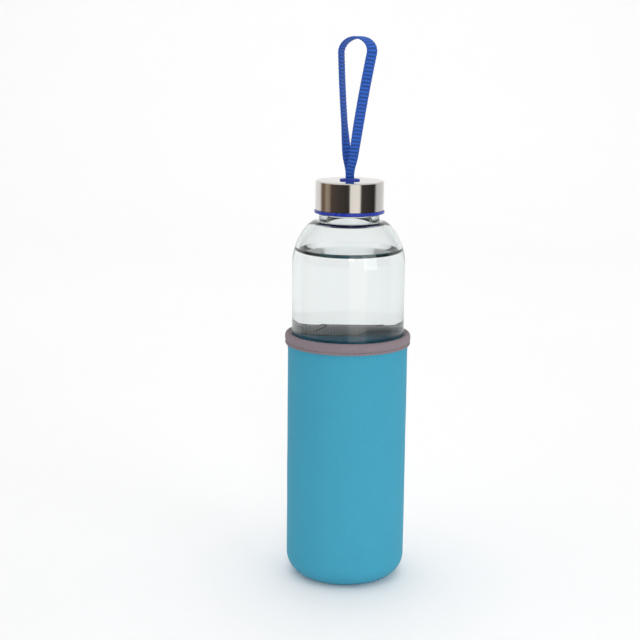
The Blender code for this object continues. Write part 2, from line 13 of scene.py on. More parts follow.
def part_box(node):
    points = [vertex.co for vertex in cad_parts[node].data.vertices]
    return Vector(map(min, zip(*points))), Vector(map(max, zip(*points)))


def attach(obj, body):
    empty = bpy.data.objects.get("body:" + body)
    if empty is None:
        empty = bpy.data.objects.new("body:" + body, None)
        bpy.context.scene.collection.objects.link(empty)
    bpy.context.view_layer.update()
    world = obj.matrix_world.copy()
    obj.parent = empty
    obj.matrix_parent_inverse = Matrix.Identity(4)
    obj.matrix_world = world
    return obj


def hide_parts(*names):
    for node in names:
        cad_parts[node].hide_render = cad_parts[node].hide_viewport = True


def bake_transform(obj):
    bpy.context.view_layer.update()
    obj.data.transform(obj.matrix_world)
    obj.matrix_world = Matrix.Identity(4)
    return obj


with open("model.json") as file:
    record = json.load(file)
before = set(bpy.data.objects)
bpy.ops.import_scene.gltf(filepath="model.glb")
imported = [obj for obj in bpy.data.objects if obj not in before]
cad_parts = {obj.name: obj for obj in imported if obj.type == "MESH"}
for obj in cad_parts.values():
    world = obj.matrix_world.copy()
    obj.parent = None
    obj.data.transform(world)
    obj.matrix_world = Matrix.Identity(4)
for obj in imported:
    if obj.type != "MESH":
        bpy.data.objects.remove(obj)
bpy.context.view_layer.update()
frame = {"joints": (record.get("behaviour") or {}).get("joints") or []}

bl_info = {
    "name": "Glass Water Bottle",
    "version": (1, 0, 0),
    "blender": (4, 5, 0),
    "location": "View3D > Sidebar > Bottle",
    "description": "Models a glass bottle with a steel cap, a webbing strap and a neoprene sleeve",
    "category": "Add Mesh",
}

MM = 0.001

# The CAD model's places, which every size below starts from.
GLASS_LOW, GLASS_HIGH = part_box("bottle_glass")
SHELL_LOW, SHELL_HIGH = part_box("cap_shell")
LINER_LOW, LINER_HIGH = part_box("cap_liner")
SEAL_LOW, SEAL_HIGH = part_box("cap_seal")
GROMMET_LOW, GROMMET_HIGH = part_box("slot_grommet")
BAR_LOW, BAR_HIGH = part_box("strap_bar")
_, LOOP_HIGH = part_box("strap_loop")
_, WALL_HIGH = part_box("sleeve_wall")
_, BASE_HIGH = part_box("sleeve_base")
TAPE_LOW, TAPE_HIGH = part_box("sleeve_binding")
SIDE_LOW, SIDE_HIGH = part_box("side_seam_stitching")

FOOT_Z = GLASS_LOW.z
RIM_Z = GLASS_HIGH.z
GLASS_RADIUS = GLASS_HIGH.x
CAP_Z = LINER_LOW.z
SHELL_RADIUS = SHELL_HIGH.x
SHELL_TOP_Z = SHELL_HIGH.z
BAR_Z = (BAR_LOW.z + BAR_HIGH.z) / 2
HINGE_Z = next(j["pos_m"][2] for j in frame["joints"] if j["name"] == "strap_sway")


def size(name, description, millimetres):
    """A length that a user can change, in metres, shown in the scene's units."""
    return FloatProperty(
        name=name, description=description, default=millimetres * MM, unit="LENGTH", precision=5
    )


def tint(name, description, red, green, blue):
    """A colour that a user can change."""
    return FloatVectorProperty(
        name=name, description=description, default=(red, green, blue), subtype="COLOR", min=0, max=1
    )


class BottleSizes(bpy.types.PropertyGroup):
    sides: IntProperty(name="Sides", description="Facets round a turned piece", default=160, min=24)
    glass_wall: size("Glass wall", "Thickness of the glass", 2.5)
    glass_floor: size("Glass floor", "Thickness of the glass under the drink", 4.5)
    heel: size("Heel", "Radius between the glass's side and its foot", 10.3)
    punt: size("Punt", "Height of the hollow under the foot", 1.8)
    dome_start: size("Dome start", "Height of the straight side above the foot", 183.2)
    bore: size("Bore", "Radius inside the neck", 13.3)
    collar: size("Collar", "Radius of the collar under the cap", 17.3)
    collar_height: size("Collar height", "From the dome to the collar's top", 2.9)
    fillet: size("Collar fillet", "Between the dome and the collar", 2.2)
    neck: size("Neck", "Radius of the neck under its thread", 15.8)
    thread_lead: size("Thread lead", "Rise for one turn of the thread", 8.0)
    thread_depth: size("Thread depth", "Height of a thread ridge", 1.2)
    water_level: size("Water level", "Height of the drink above the table", 192.6)
    meniscus: size("Meniscus", "How far the drink climbs at the glass", 2.8)
    shell_wall: size("Shell wall", "Thickness of the steel", 0.5)
    shell_corner: size("Shell corner", "Radius round the steel's top edge", 1.0)
    liner_wall: size("Liner wall", "Thickness of the cap's plastic wall", 1.35)
    flange: size("Flange", "Thickness of the blue ring under the steel", 1.6)
    strap_width: size("Strap width", "Width of the webbing", 6.3)
    strap_root: size("Strap root", "Width of the webbing where it is gathered", 5.0)
    strap_thickness: size("Strap thickness", "Thickness of the webbing", 1.35)
    strap_rib: size("Strap rib", "From one cross rib to the next", 2.1)
    neoprene: size("Neoprene", "Thickness of the sleeve's wall", 2.0)
    tape_thickness: size("Tape thickness", "Thickness of the binding tape", 0.7)
    tape_stitch: size("Tape stitch", "Length of a stitch along the tape", 3.0)
    seam_stitch: size("Seam stitch", "From one overlock stitch to the next", 3.3)
    thread: size("Thread", "Radius of the sewing thread", 0.19)


class BottleColours(bpy.types.PropertyGroup):
    glass: tint("Glass", "Tint of the glass", 0.99, 0.995, 0.995)
    # Painted shade: the dark colour painted on the glass where it is seen edge on.
    glass_painted_edge_shade: tint("Glass edge", "Tint of the glass where it is seen edge on", 0.3, 0.42, 0.42)
    glass_depth: tint("Glass depth", "Colour that thick glass lets through", 0.5, 0.66, 0.65)
    water: tint("Water", "Tint of the drink", 0.995, 1.0, 1.0)
    # Painted shade: the dark colour painted on the drink where it is seen edge on, and on its climbing edge
    # seen from below.
    water_painted_edge_shade: tint("Water edge", "Tint of the drink where it is seen edge on", 0.02, 0.2, 0.22)
    steel: tint("Steel", "Brushed steel of the cap", 0.66, 0.64, 0.61)
    plastic: tint("Plastic", "Blue plastic of the liner", 0.012, 0.035, 0.36)
    silicone: tint("Silicone", "The sealing ring", 0.78, 0.8, 0.8)
    webbing: tint("Webbing", "Lit ribs of the strap", 0.014, 0.125, 0.6)
    # Painted shade: the colour painted in the strap's grooves, against the lit ribs.
    webbing_painted_groove_shade: tint("Webbing grooves", "Grooves of the strap", 0.006, 0.018, 0.12)
    jersey: tint("Jersey", "Outside of the sleeve", 0.052, 0.322, 0.462)
    # Partly painted light: the lining's own teal, made lighter to stand in for light that does not reach it
    # through the glass.
    lining_with_painted_light: tint("Lining", "Inside of the sleeve", 0.012, 0.52, 0.88)
    foam: tint("Foam", "Cut edge of the neoprene", 0.02, 0.025, 0.03)
    tape: tint("Tape", "Binding tape", 0.246, 0.199, 0.219)
    # Painted light: the inner side's colour is made far lighter than the tape's, to stand in for light that
    # does not reach it through the glass.
    tape_inside_painted_light: tint("Tape inside", "Unfaded inner side of the binding tape", 0.92, 0.83, 0.91)
    tape_thread: tint("Tape thread", "Stitches along the tape", 0.13, 0.1, 0.115)
    seam_thread: tint("Seam thread", "Stitches of the sleeve's seams", 0.05, 0.4, 0.56)
    floor: tint("Floor", "Floor and backdrop", 0.9, 0.9, 0.9)


# Modelling helpers


def on_circle(centre, radius, degrees):
    angle = math.radians(degrees)
    return (centre[0] + radius * math.cos(angle), centre[1] + radius * math.sin(angle))


def arc(centre, radius, start, end, steps):
    """Points of an arc, both ends included. Angles are in degrees from the first axis."""
    return [on_circle(centre, radius, start + (end - start) * i / steps) for i in range(steps + 1)]


def divided(start, end, steps):
    """Points along a straight stretch, without its last one."""
    share = [i / steps for i in range(steps)]
    return [(start[0] + (end[0] - start[0]) * s, start[1] + (end[1] - start[1]) * s) for s in share]


def smooth_step(share):
    share = max(0.0, min(1.0, share))
    return share * share * (3 - 2 * share)


def around(radius, z, angle):
    return Vector((radius * math.cos(angle), radius * math.sin(angle), z))


def around_axis(co):
    """A point's distance from the bottle's axis, and its angle about it."""
    return math.hypot(co.x, co.y), math.atan2(co.y, co.x)


def turned(outline, sides, closed):
    """A bmesh of (r, z) points spun about Z. An open outline starts and ends on the axis."""
    bm = bmesh.new()
    points = [bm.verts.new((r, 0, z)) for r, z in outline]
    edges = [bm.edges.new(pair) for pair in zip(points, points[1:])]
    if closed:
        edges.append(bm.edges.new((points[-1], points[0])))
    bmesh.ops.spin(
        bm,
        geom=points + edges,
        cent=(0, 0, 0),
        axis=(0, 0, 1),
        angle=math.tau,
        steps=sides,
        use_merge=True,
    )
    return bm


def swept(rings, closed, capped=True):
    """A bmesh of a ring of points pulled along to each following ring of as many points."""
    bm = bmesh.new()
    verts = [bm.verts.new(p) for p in rings[0]]
    edges = [bm.edges.new((verts[i - 1], verts[i])) for i in range(len(verts))]
    first = list(edges)
    for ring in rings[1:]:
        made = bmesh.ops.extrude_edge_only(bm, edges=edges)["geom"]
        edges = [g for g in made if isinstance(g, bmesh.types.BMEdge) and len(g.link_faces) == 1]
        place = {tuple(v.co): p for v, p in zip(verts, ring)}
        order = {tuple(v.co): i for i, v in enumerate(verts)}
        fresh = [g for g in made if isinstance(g, bmesh.types.BMVert)]
        fresh.sort(key=lambda v: order[tuple(v.co)])
        for v in fresh:
            v.co = place[tuple(v.co)]
        verts = fresh
    if closed:
        bmesh.ops.bridge_loops(bm, edges=first + edges)
    elif capped:
        bmesh.ops.contextual_create(bm, geom=first)
        bmesh.ops.contextual_create(bm, geom=edges)
    return bm


def extruded(bm, face, vector):
    """Extrudes a face along a vector, and gives back the face at the far end."""
    made = bmesh.ops.extrude_face_region(bm, geom=[face])["geom"]
    bmesh.ops.translate(bm, verts=[g for g in made if isinstance(g, bmesh.types.BMVert)], vec=vector)
    return next(g for g in made if isinstance(g, bmesh.types.BMFace))


def rounded(bm, edges, radius, segments):
    """Rounds edges off."""
    bmesh.ops.bevel(
        bm,
        geom=edges,
        offset=radius,
        offset_type="OFFSET",
        segments=segments,
        profile=0.5,
        affect="EDGES",
        material=-1,
    )


def joined(bm, other):
    """Moves another bmesh's geometry into this one."""
    scratch = bpy.data.meshes.new("scratch")
    other.to_mesh(scratch)
    other.free()
    bm.from_mesh(scratch)
    bpy.data.meshes.remove(scratch)


def piece(name, bm, sharp=35):
    """Ends a bmesh as an object at the origin, with its doubles merged and its faces pointing out."""
    bmesh.ops.remove_doubles(bm, verts=bm.verts, dist=1e-6)
    bmesh.ops.recalc_face_normals(bm, faces=bm.faces)
    mesh = bpy.data.meshes.new(name)
    bm.to_mesh(mesh)
    bm.free()
    mesh.shade_smooth()
    if sharp:
        mesh.set_sharp_from_angle(angle=math.radians(sharp))
    made = bpy.data.objects.new(name, mesh)
    bpy.context.scene.collection.objects.link(made)
    return made


def combined(made, tool, operation):
    """Applies a Boolean with a tool object, which is removed."""
    modifier = made.modifiers.new("tool", "BOOLEAN")
    modifier.operation = operation
    modifier.object = tool
    modifier.solver = "EXACT"
    mesh = bpy.data.meshes.new_from_object(made.evaluated_get(bpy.context.evaluated_depsgraph_get()))
    made.modifiers.clear()
    made.data = mesh
    mesh.materials.clear()
    bpy.data.objects.remove(tool)
    mesh.shade_smooth()
    mesh.set_sharp_from_angle(angle=math.radians(35))
    return made


def wrap_uv(made):
    """A UV map in metres: round the bottle's axis, and up it."""
    mesh = made.data
    layer = mesh.uv_layers.new(name="cloth")
    for face in mesh.polygons:
        angles = [math.atan2(mesh.vertices[v].co.y, mesh.vertices[v].co.x) for v in face.vertices]
        crosses = max(angles) - min(angles) > math.pi
        for loop, vertex, angle in zip(face.loop_indices, face.vertices, angles):
            turn = angle + math.tau if crosses and angle < 0 else angle
            layer.data[loop].uv = (turn * GLASS_RADIUS, mesh.vertices[vertex].co.z)
    return made


def dress(made, body, slot, material, *nodes):
    """Gives a finished piece its material and its CAD body, and hides the CAD nodes that it stands for; the
    slot is not used.
    """
    made.data.materials.append(material)
    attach(made, body)
    if nodes:
        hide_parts(*nodes)
    return made


# Materials


def add(tree, kind, inputs=None, **settings):
    """Adds a node, sets its settings, and sets or links its inputs by name or number."""
    node = tree.nodes.new(kind)
    for name, value in settings.items():
        setattr(node, name, value)
    for name, value in (inputs or {}).items():
        if isinstance(value, bpy.types.NodeSocket):
            tree.links.new(value, node.inputs[name])
        else:
            node.inputs[name].default_value = value
    return node


def math_node(tree, operation, *values):
    """A Math node's result."""
    return add(tree, "ShaderNodeMath", dict(enumerate(values)), operation=operation).outputs[0]


def scaled(tree, value, factor, offset=0.0):
    """A value times a factor, plus an offset."""
    return math_node(tree, "MULTIPLY_ADD", value, factor, offset)


def speckle(tree, vector, scale, detail=2.0, roughness=0.5):
    """A noise texture's value."""
    inputs = {"Vector": vector, "Scale": scale, "Detail": detail, "Roughness": roughness}
    return add(tree, "ShaderNodeTexNoise", inputs).outputs[0]


def mixed(tree, factor, first, second, blend="MIX"):
    """A colour mix's result."""
    node = add(tree, "ShaderNodeMix", data_type="RGBA", blend_type=blend)
    for index, value in ((0, factor), (6, first), (7, second)):
        if isinstance(value, bpy.types.NodeSocket):
            tree.links.new(value, node.inputs[index])
        else:
            node.inputs[index].default_value = value
    return node.outputs[2]


def group(name, inputs, outputs):
    """A new shader node group with float and vector sockets, and its input and output nodes."""
    made = bpy.data.node_groups.new(name, "ShaderNodeTree")
    for label, kind in inputs:
        made.interface.new_socket(name=label, in_out="INPUT", socket_type=kind)
    for label, kind in outputs:
        made.interface.new_socket(name=label, in_out="OUTPUT", socket_type=kind)
    return made, made.nodes.new("NodeGroupInput"), made.nodes.new("NodeGroupOutput")


FLOAT, VECTOR = "NodeSocketFloat", "NodeSocketVector"


def ribs_group():
    """Raised ribs across a coordinate in metres. Height is 1 on a rib and 0 in a groove."""
    made, given, result = group(
        "Ribs", [("Coordinate", FLOAT), ("Pitch", FLOAT), ("Fullness", FLOAT)], [("Height", FLOAT)]
    )
    ribs = math_node(made, "DIVIDE", given.outputs["Coordinate"], given.outputs["Pitch"])
    wave = math_node(made, "SINE", math_node(made, "MULTIPLY", ribs, math.pi))
    height = math_node(made, "POWER", math_node(made, "ABSOLUTE", wave), given.outputs["Fullness"])
    made.links.new(height, result.inputs["Height"])
    return made


def fibres_group():
    """Cloth's uneven dye and its loose fibres, as two masks about 0.5."""
    made, given, result = group(
        "Fibres",
        [("Vector", VECTOR), ("Mottle", FLOAT), ("Fibre", FLOAT)],
        [("Dye", FLOAT), ("Fuzz", FLOAT)],
    )
    place, mottle, fibre = (given.outputs[label] for label in ("Vector", "Mottle", "Fibre"))
    made.links.new(speckle(made, place, mottle, 3.0), result.inputs["Dye"])
    made.links.new(speckle(made, place, fibre, 4.0, 0.7), result.inputs["Fuzz"])
    return made


def handling_group():
    """Fingermarks and rubbed patches on a hard surface, as a mask from 0 to 1."""
    made, given, result = group("Handling", [("Vector", VECTOR), ("Scale", FLOAT)], [("Mask", FLOAT)])
    patches = speckle(made, given.outputs["Vector"], given.outputs["Scale"], 5.0, 0.62)
    limits = {"Value": patches, "From Min": 0.42, "From Max": 0.68}
    spread = add(made, "ShaderNodeMapRange", limits, clamp=True)
    made.links.new(spread.outputs[0], result.inputs["Mask"])
    return made


def shared(name):
    """One of the node groups that several materials use, built once."""
    builders = {"Ribs": ribs_group, "Fibres": fibres_group, "Handling": handling_group}
    return bpy.data.node_groups.get(name) or builders[name]()


def placed(tree, name, inputs):
    """A shared group, placed in a tree with its own values."""
    node = tree.nodes.new("ShaderNodeGroup")
    node.node_tree = shared(name)
    for label, value in inputs.items():
        if isinstance(value, bpy.types.NodeSocket):
            tree.links.new(value, node.inputs[label])
        else:
            node.inputs[label].default_value = value
    return node


def ribbed(tree, coordinate, pitch, fullness):
    """The Ribs group's height."""
    inputs = {"Coordinate": coordinate, "Pitch": pitch, "Fullness": fullness}
    return placed(tree, "Ribs", inputs).outputs[0]


def fibrous(tree, vector, mottle, fibre):
    """The Fibres group's dye and fuzz."""
    cloth = placed(tree, "Fibres", {"Vector": vector, "Mottle": mottle, "Fibre": fibre})
    return cloth.outputs["Dye"], cloth.outputs["Fuzz"]


def new_material(name, **values):
    """A material with one Principled BSDF, whose plain values are set on its own sockets."""
    made = bpy.data.materials.get(name)
    if made:
        return made, None, None
    made = bpy.data.materials.new(name)
    made.use_nodes = True
    shader = made.node_tree.nodes["Principled BSDF"]
    for label, value in values.items():
        shader.inputs[label.replace("_", " ")].default_value = value
    return made, made.node_tree, shader


def rgba(colour, factor=1.0):
    return (*(min(1.0, c * factor) for c in colour), 1.0)


def wired(tree, shader, colour, roughness=None):
    """Links a shader's colour, and its roughness where that varies."""
    tree.links.new(colour, shader.inputs["Base Color"])
    if roughness is not None:
        tree.links.new(roughness, shader.inputs["Roughness"])


def bump(tree, shader, height, strength, distance):
    node = add(tree, "ShaderNodeBump", {"Height": height, "Strength": strength, "Distance": distance})
    tree.links.new(node.outputs[0], shader.inputs["Normal"])


def object_coordinates(tree):
    return add(tree, "ShaderNodeTexCoord").outputs["Object"]


def glass_material(colours):
    """Clear, faintly green soda glass with the slight waviness of a blown wall, and a painted shade that
    darkens it where it is seen edge on.
    """
    made, tree, shader = new_material("soda_glass", IOR=1.5, Roughness=0.0, Transmission_Weight=1.0)
    if tree:
        facing = add(tree, "ShaderNodeLayerWeight", {"Blend": 0.5}).outputs["Facing"]
        # Painted shade: a dark edge painted where the surface is seen edge on.
        painted_edge_shade = math_node(tree, "POWER", facing, 9.0)
        wired(tree, shader, mixed(tree, painted_edge_shade, rgba(colours.glass), rgba(colours.glass_painted_edge_shade)))
        bump(tree, shader, speckle(tree, object_coordinates(tree), 38.0, 1.0), 0.12, 0.001)
        depth = {"Color": rgba(colours.glass_depth), "Density": 40.0}
        green = add(tree, "ShaderNodeVolumeAbsorption", depth)
        tree.links.new(green.outputs[0], tree.nodes["Material Output"].inputs["Volume"])
    return made


def water_material(name, colours, line):
    """Clear still water, with a painted shade that darkens it where it is seen edge on. On its climbing
    edge, with line at 1, a painted shade darkens it where it is seen from below.
    """
    bend = 1.333 - 0.16 * line
    made, tree, shader = new_material(name, IOR=bend, Roughness=0.0, Transmission_Weight=1.0)
    if tree:
        facing = add(tree, "ShaderNodeLayerWeight", {"Blend": 0.5}).outputs["Facing"]
        below = add(tree, "ShaderNodeNewGeometry").outputs["Backfacing"]
        # Painted shade: dark where seen edge on, and on the climbing edge where seen from below.
        dark = scaled(tree, below, line, math_node(tree, "POWER", facing, 12.0))
        wired(tree, shader, mixed(tree, dark, rgba(colours.water), rgba(colours.water_painted_edge_shade)))
        bump(tree, shader, speckle(tree, object_coordinates(tree), 60.0), 0.05, 0.0005)
    return made


def steel_material(colours):
    """Steel brushed up and down its side, with fingermarks in its shine."""
    made, tree, shader = new_material("brushed_steel", Metallic=1.0)
    if tree:
        place = object_coordinates(tree)
        upright = add(tree, "ShaderNodeMapping", {"Vector": place, "Scale": (1.0, 1.0, 0.02)})
        strokes = speckle(tree, upright.outputs[0], 2600.0, 3.0, 0.6)
        marks = placed(tree, "Handling", {"Vector": place, "Scale": 95.0}).outputs[0]
        rough = scaled(tree, strokes, 0.06, scaled(tree, marks, 0.05, 0.06))
        shade = mixed(tree, strokes, rgba(colours.steel, 0.86), rgba(colours.steel, 1.12))
        wired(tree, shader, shade, rough)
        bump(tree, shader, strokes, 0.1, 0.00002)
    return made


def plastic_material(colours):
    """Moulded blue plastic with a faint spark-eroded grain."""
    made, tree, shader = new_material("moulded_plastic", Specular_IOR_Level=0.45)
    if tree:
        place = object_coordinates(tree)
        marks = placed(tree, "Handling", {"Vector": place, "Scale": 160.0}).outputs[0]
        shade = mixed(tree, marks, rgba(colours.plastic, 1.1), rgba(colours.plastic, 0.85))
        wired(tree, shader, shade, scaled(tree, marks, 0.14, 0.26))
        bump(tree, shader, speckle(tree, place, 2400.0), 0.15, 0.00005)
    return made


def silicone_material(colours):
    """Satin white silicone."""
    made, tree, shader = new_material("satin_silicone", Subsurface_Weight=0.12)
    if tree:
        place = object_coordinates(tree)
        marks = placed(tree, "Handling", {"Vector": place, "Scale": 220.0}).outputs[0]
        shade = mixed(tree, marks, rgba(colours.silicone, 1.05), rgba(colours.silicone, 0.92))
        wired(tree, shader, shade, scaled(tree, marks, 0.12, 0.45))
        bump(tree, shader, marks, 0.05, 0.0001)
    return made


def webbing_material(colours):
    """Woven webbing: fine warp yarns over each cross rib, with painted shade in the grooves."""
    made, tree, shader = new_material("woven_webbing", Specular_IOR_Level=0.5)
    if tree:
        place = add(tree, "ShaderNodeUVMap", uv_map="cloth").outputs[0]
        parts = add(tree, "ShaderNodeSeparateXYZ", {"Vector": place})
        rib = ribbed(tree, parts.outputs[1], 1.0, 0.55)
        yarn = ribbed(tree, parts.outputs[0], 0.00042, 0.8)
        dye, fuzz = fibrous(tree, object_coordinates(tree), 260.0, 2600.0)
        woven = scaled(tree, yarn, 0.35, rib)
        uneven = scaled(tree, fuzz, 0.9, math_node(tree, "SUBTRACT", woven, 0.8))
        # Painted shade: the grooves between the ribs are painted dark, over a random fibre tone.
        shade = mixed(tree, uneven, rgba(colours.webbing_painted_groove_shade), rgba(colours.webbing))
        wired(tree, shader, shade, scaled(tree, dye, 0.3, 0.42))
        bump(tree, shader, woven, 0.6, 0.00018)
    return made


def cloth_coordinates(tree, lean):
    """The sleeve's UV map, and its distance across lines that lean by an angle from upright."""
    place = add(tree, "ShaderNodeUVMap", uv_map="cloth").outputs[0]
    parts = add(tree, "ShaderNodeSeparateXYZ", {"Vector": place})
    across = math_node(tree, "MULTIPLY", parts.outputs[0], math.cos(lean))
    return place, scaled(tree, parts.outputs[1], math.sin(lean), across)


def jersey_material(name, colour, lean, pitch):
    """Knitted nylon jersey over foam rubber, with fine leaning wales, painted lighter on the wales and
    courses and darker between them as painted shade, over a random fibre tone.
    """
    made, tree, shader = new_material(
        name, Specular_IOR_Level=0.15, Sheen_Weight=0.06, Sheen_Roughness=0.4
    )
    if tree:
        place, across = cloth_coordinates(tree, lean)
        _, counter = cloth_coordinates(tree, lean - math.radians(78))
        wale = ribbed(tree, across, pitch, 0.9)
        course = ribbed(tree, counter, pitch * 0.42, 1.0)
        dye, fuzz = fibrous(tree, place, 55.0, 1500.0)
        knit = scaled(tree, course, 0.3, math_node(tree, "MULTIPLY", wale, 0.7))
        light = scaled(tree, fuzz, 0.9, math_node(tree, "MULTIPLY", knit, 0.4))
        # Painted light and shade: the knit's ribs are painted lighter and the grooves between them darker,
        # mixed with the fibres' own random tone.
        fuzz_and_painted_rib_light = math_node(tree, "SUBTRACT", light, 0.22)
        shade = mixed(tree, fuzz_and_painted_rib_light, rgba(colour, 0.76), rgba(colour, 1.22))
        dyed = mixed(tree, dye, rgba((0.9, 0.93, 0.95)), rgba((1.0, 1.0, 1.0)))
        shade = mixed(tree, 1.0, shade, dyed, "MULTIPLY")
        wired(tree, shader, shade, scaled(tree, dye, 0.15, 0.72))
        bump(tree, shader, light, 0.45, 0.0002)
    return made


def jersey_outside(colours):
    return jersey_material("sleeve_jersey", colours.jersey, math.radians(24), 1.5 * MM)


def jersey_inside(colours):
    # Its colour holds painted light as well as the lining's own teal.
    return jersey_material("sleeve_lining", colours.lining_with_painted_light, 0.0, 1.1 * MM)


def foam_material(colours):
    """The dark cut edge of the foam rubber."""
    made, tree, shader = new_material("foam_edge", Specular_IOR_Level=0.2)
    if tree:
        place = {"Vector": object_coordinates(tree), "Scale": 3000.0}
        cells = add(tree, "ShaderNodeTexVoronoi", place).outputs[0]
        shade = mixed(tree, cells, rgba(colours.foam, 0.6), rgba(colours.foam, 1.5))
        wired(tree, shader, shade, scaled(tree, cells, 0.1, 0.8))
        bump(tree, shader, cells, 0.4, 0.0001)
    return made


def tape_material(name, colour):
    """Ribbed binding tape, with its ribs across its length, painted lighter on the ribs and darker in the
    grooves as painted shade, over a random fibre tone.
    """
    made, tree, shader = new_material(name, Specular_IOR_Level=0.15, Sheen_Weight=0.08)
    if tree:
        place, across = cloth_coordinates(tree, 0.0)
        rib = ribbed(tree, across, 0.00085, 0.7)
        dye, fuzz = fibrous(tree, place, 120.0, 1700.0)
        woven = scaled(tree, fuzz, 0.8, math_node(tree, "MULTIPLY", rib, 0.5))
        # Painted light and shade: lighter on the ribs and darker in the grooves, mixed with the fibres' own
        # random tone.
        fuzz_and_painted_rib_light = math_node(tree, "SUBTRACT", woven, 0.25)
        shade = mixed(tree, fuzz_and_painted_rib_light, rgba(colour, 0.6), rgba(colour, 1.25))
        wired(tree, shader, shade, scaled(tree, dye, 0.15, 0.72))
        bump(tree, shader, woven, 0.6, 0.0002)
    return made


def thread_material(name, colour):
    """Twisted sewing thread."""
    made, tree, shader = new_material(name, Specular_IOR_Level=0.35, Sheen_Weight=0.2)
    if tree:
        dye, fuzz = fibrous(tree, object_coordinates(tree), 400.0, 5200.0)
        shade = mixed(tree, fuzz, rgba(colour, 0.6), rgba(colour, 1.35))
        wired(tree, shader, shade, scaled(tree, dye, 0.2, 0.55))
        bump(tree, shader, fuzz, 0.5, 0.0001)
    return made


def floor_material(colours):
    """A pale, even studio floor."""
    made, tree, shader = new_material("studio_floor", Specular_IOR_Level=0.2)
    if tree:
        dye, fuzz = fibrous(tree, object_coordinates(tree), 3.0, 400.0)
        shade = mixed(tree, dye, rgba(colours.floor, 0.99), rgba(colours.floor, 1.01))
        wired(tree, shader, shade, scaled(tree, fuzz, 0.1, 0.6))
    return made


# Glass and drink

EDGE_ROUND = 0.7 * MM  # of the glass's rim and collar
THREAD_SINK = 0.3 * MM  # how far a ridge is rooted in its wall
THREAD_FADE = math.radians(25)  # each ridge sinks into its wall over this angle
THREAD_STEPS = 72


def dome_inside(sizes):
    """Radius of the inner wall, and the angle in degrees where the dome's inside flattens."""
    radius = GLASS_RADIUS - sizes.glass_wall
    shoulder = 7.2 * MM  # from the bore to where the dome's inside flattens
    return radius, math.degrees(math.acos((sizes.bore + shoulder) / radius))


def dome_join(sizes):
    """Radius and height at which the dome would meet the collar's fillet."""
    radius = sizes.collar + sizes.fillet
    return radius, FOOT_Z + sizes.dome_start + math.sqrt(GLASS_RADIUS**2 - radius**2)


def glass_outline(sizes):
    """Section of the glass in (r, z), from the punt round the outside and down the inside."""
    foot_ring = GLASS_RADIUS - sizes.heel
    dome_z = FOOT_Z + sizes.dome_start
    join_r, join_z = dome_join(sizes)
    dome_end = math.degrees(math.acos(join_r / GLASS_RADIUS)) - 9  # short of the join, for the fillet
    collar_z = join_z + sizes.collar_height
    shares = (0.0, 0.25, 0.5, 0.7, 0.85, 0.95)
    outside = [(foot_ring * s, FOOT_Z + sizes.punt * (1 - s**3)) for s in shares]
    outside += arc((foot_ring, FOOT_Z + sizes.heel), sizes.heel, -90, 0, 12)
    outside += divided((GLASS_RADIUS, FOOT_Z + sizes.heel), (GLASS_RADIUS, dome_z), 12)[1:]
    outside += arc((0, dome_z), GLASS_RADIUS, 0, dome_end, 26)
    tuck = sizes.fillet * 0.28
    foot_r, foot_z = sizes.collar + tuck, join_z - sizes.fillet * 0.6
    outside += [(foot_r + out * MM, foot_z - down * MM) for out, down in ((3, 0.42), (1.2, 0.05))]
    outside += arc((foot_r, foot_z + tuck), tuck, 270, 180, 6)
    outside += arc((sizes.collar - EDGE_ROUND, collar_z - EDGE_ROUND), EDGE_ROUND, 0, 90, 4)
    chamfer = 0.4 * MM
    outside += [(sizes.neck + chamfer, collar_z), (sizes.neck, collar_z + chamfer)]
    outside += arc((sizes.neck - EDGE_ROUND, RIM_Z - EDGE_ROUND), EDGE_ROUND, 0, 90, 4)
    inner, inner_end = dome_inside(sizes)
    inner_heel = sizes.heel - sizes.glass_wall
    floor_z = FOOT_Z + sizes.glass_floor
    inside = arc((sizes.bore + EDGE_ROUND, RIM_Z - EDGE_ROUND), EDGE_ROUND, 90, 180, 4)
    # Where the bore opens into the dome: millimetres out from the bore, and down from the join.
    for out, down in ((0.0, 2.6), (0.8, 3.6), (2.2, 4.0), (4.0, 4.3), (5.6, 4.45)):
        inside.append((sizes.bore + out * MM, join_z - down * MM))
    inside += arc((0, dome_z), inner, inner_end, 0, 22)
    inside += divided((inner, dome_z), (inner, floor_z + inner_heel), 12)[1:]
    inside += arc((foot_ring, floor_z + inner_heel), inner_heel, 0, -90, 10)
    shares = (0.8, 0.6, 0.4, 0.2, 0.0)
    return outside + inside + [(foot_ring * s, floor_z + sizes.punt * (1 - s**2)) for s in shares]


def thread_ridges(sizes, root, crest, root_width, crest_width, start_z, start_angle, sweep):
    """Two rounded helical ridges that fade into the wall at both ends, as a tool object."""
    whole = bmesh.new()
    flank, middle = root + (crest - root) * 0.6, (root_width + crest_width) / 4
    section = [
        (root, -root_width / 2),
        (root, root_width / 2),
        (flank, middle),
        (crest, crest_width * 0.4),
        (crest, -crest_width * 0.4),
        (flank, -middle),
    ]
    for start in range(2):
        rings = []
        for i in range(THREAD_STEPS + 1):
            angle = sweep * i / THREAD_STEPS
            share = min(1.0, 0.12 + min(angle, sweep - angle) / THREAD_FADE)
            turn = start_angle + math.pi * start + angle
            rise = start_z + sizes.thread_lead * angle / math.tau
            rings.append([around(root + (r - root) * share, rise + z, turn) for r, z in section])
        joined(whole, swept(rings, closed=False))
    return piece("thread_tool", whole)


def thread_places(sizes):
    """Start height and sweep of the neck's thread."""
    above_collar, below_rim = 2.8 * MM, 2.5 * MM
    start_z = dome_join(sizes)[1] + sizes.collar_height + above_collar
    return start_z, math.tau * (RIM_Z - below_rim - start_z) / sizes.thread_lead


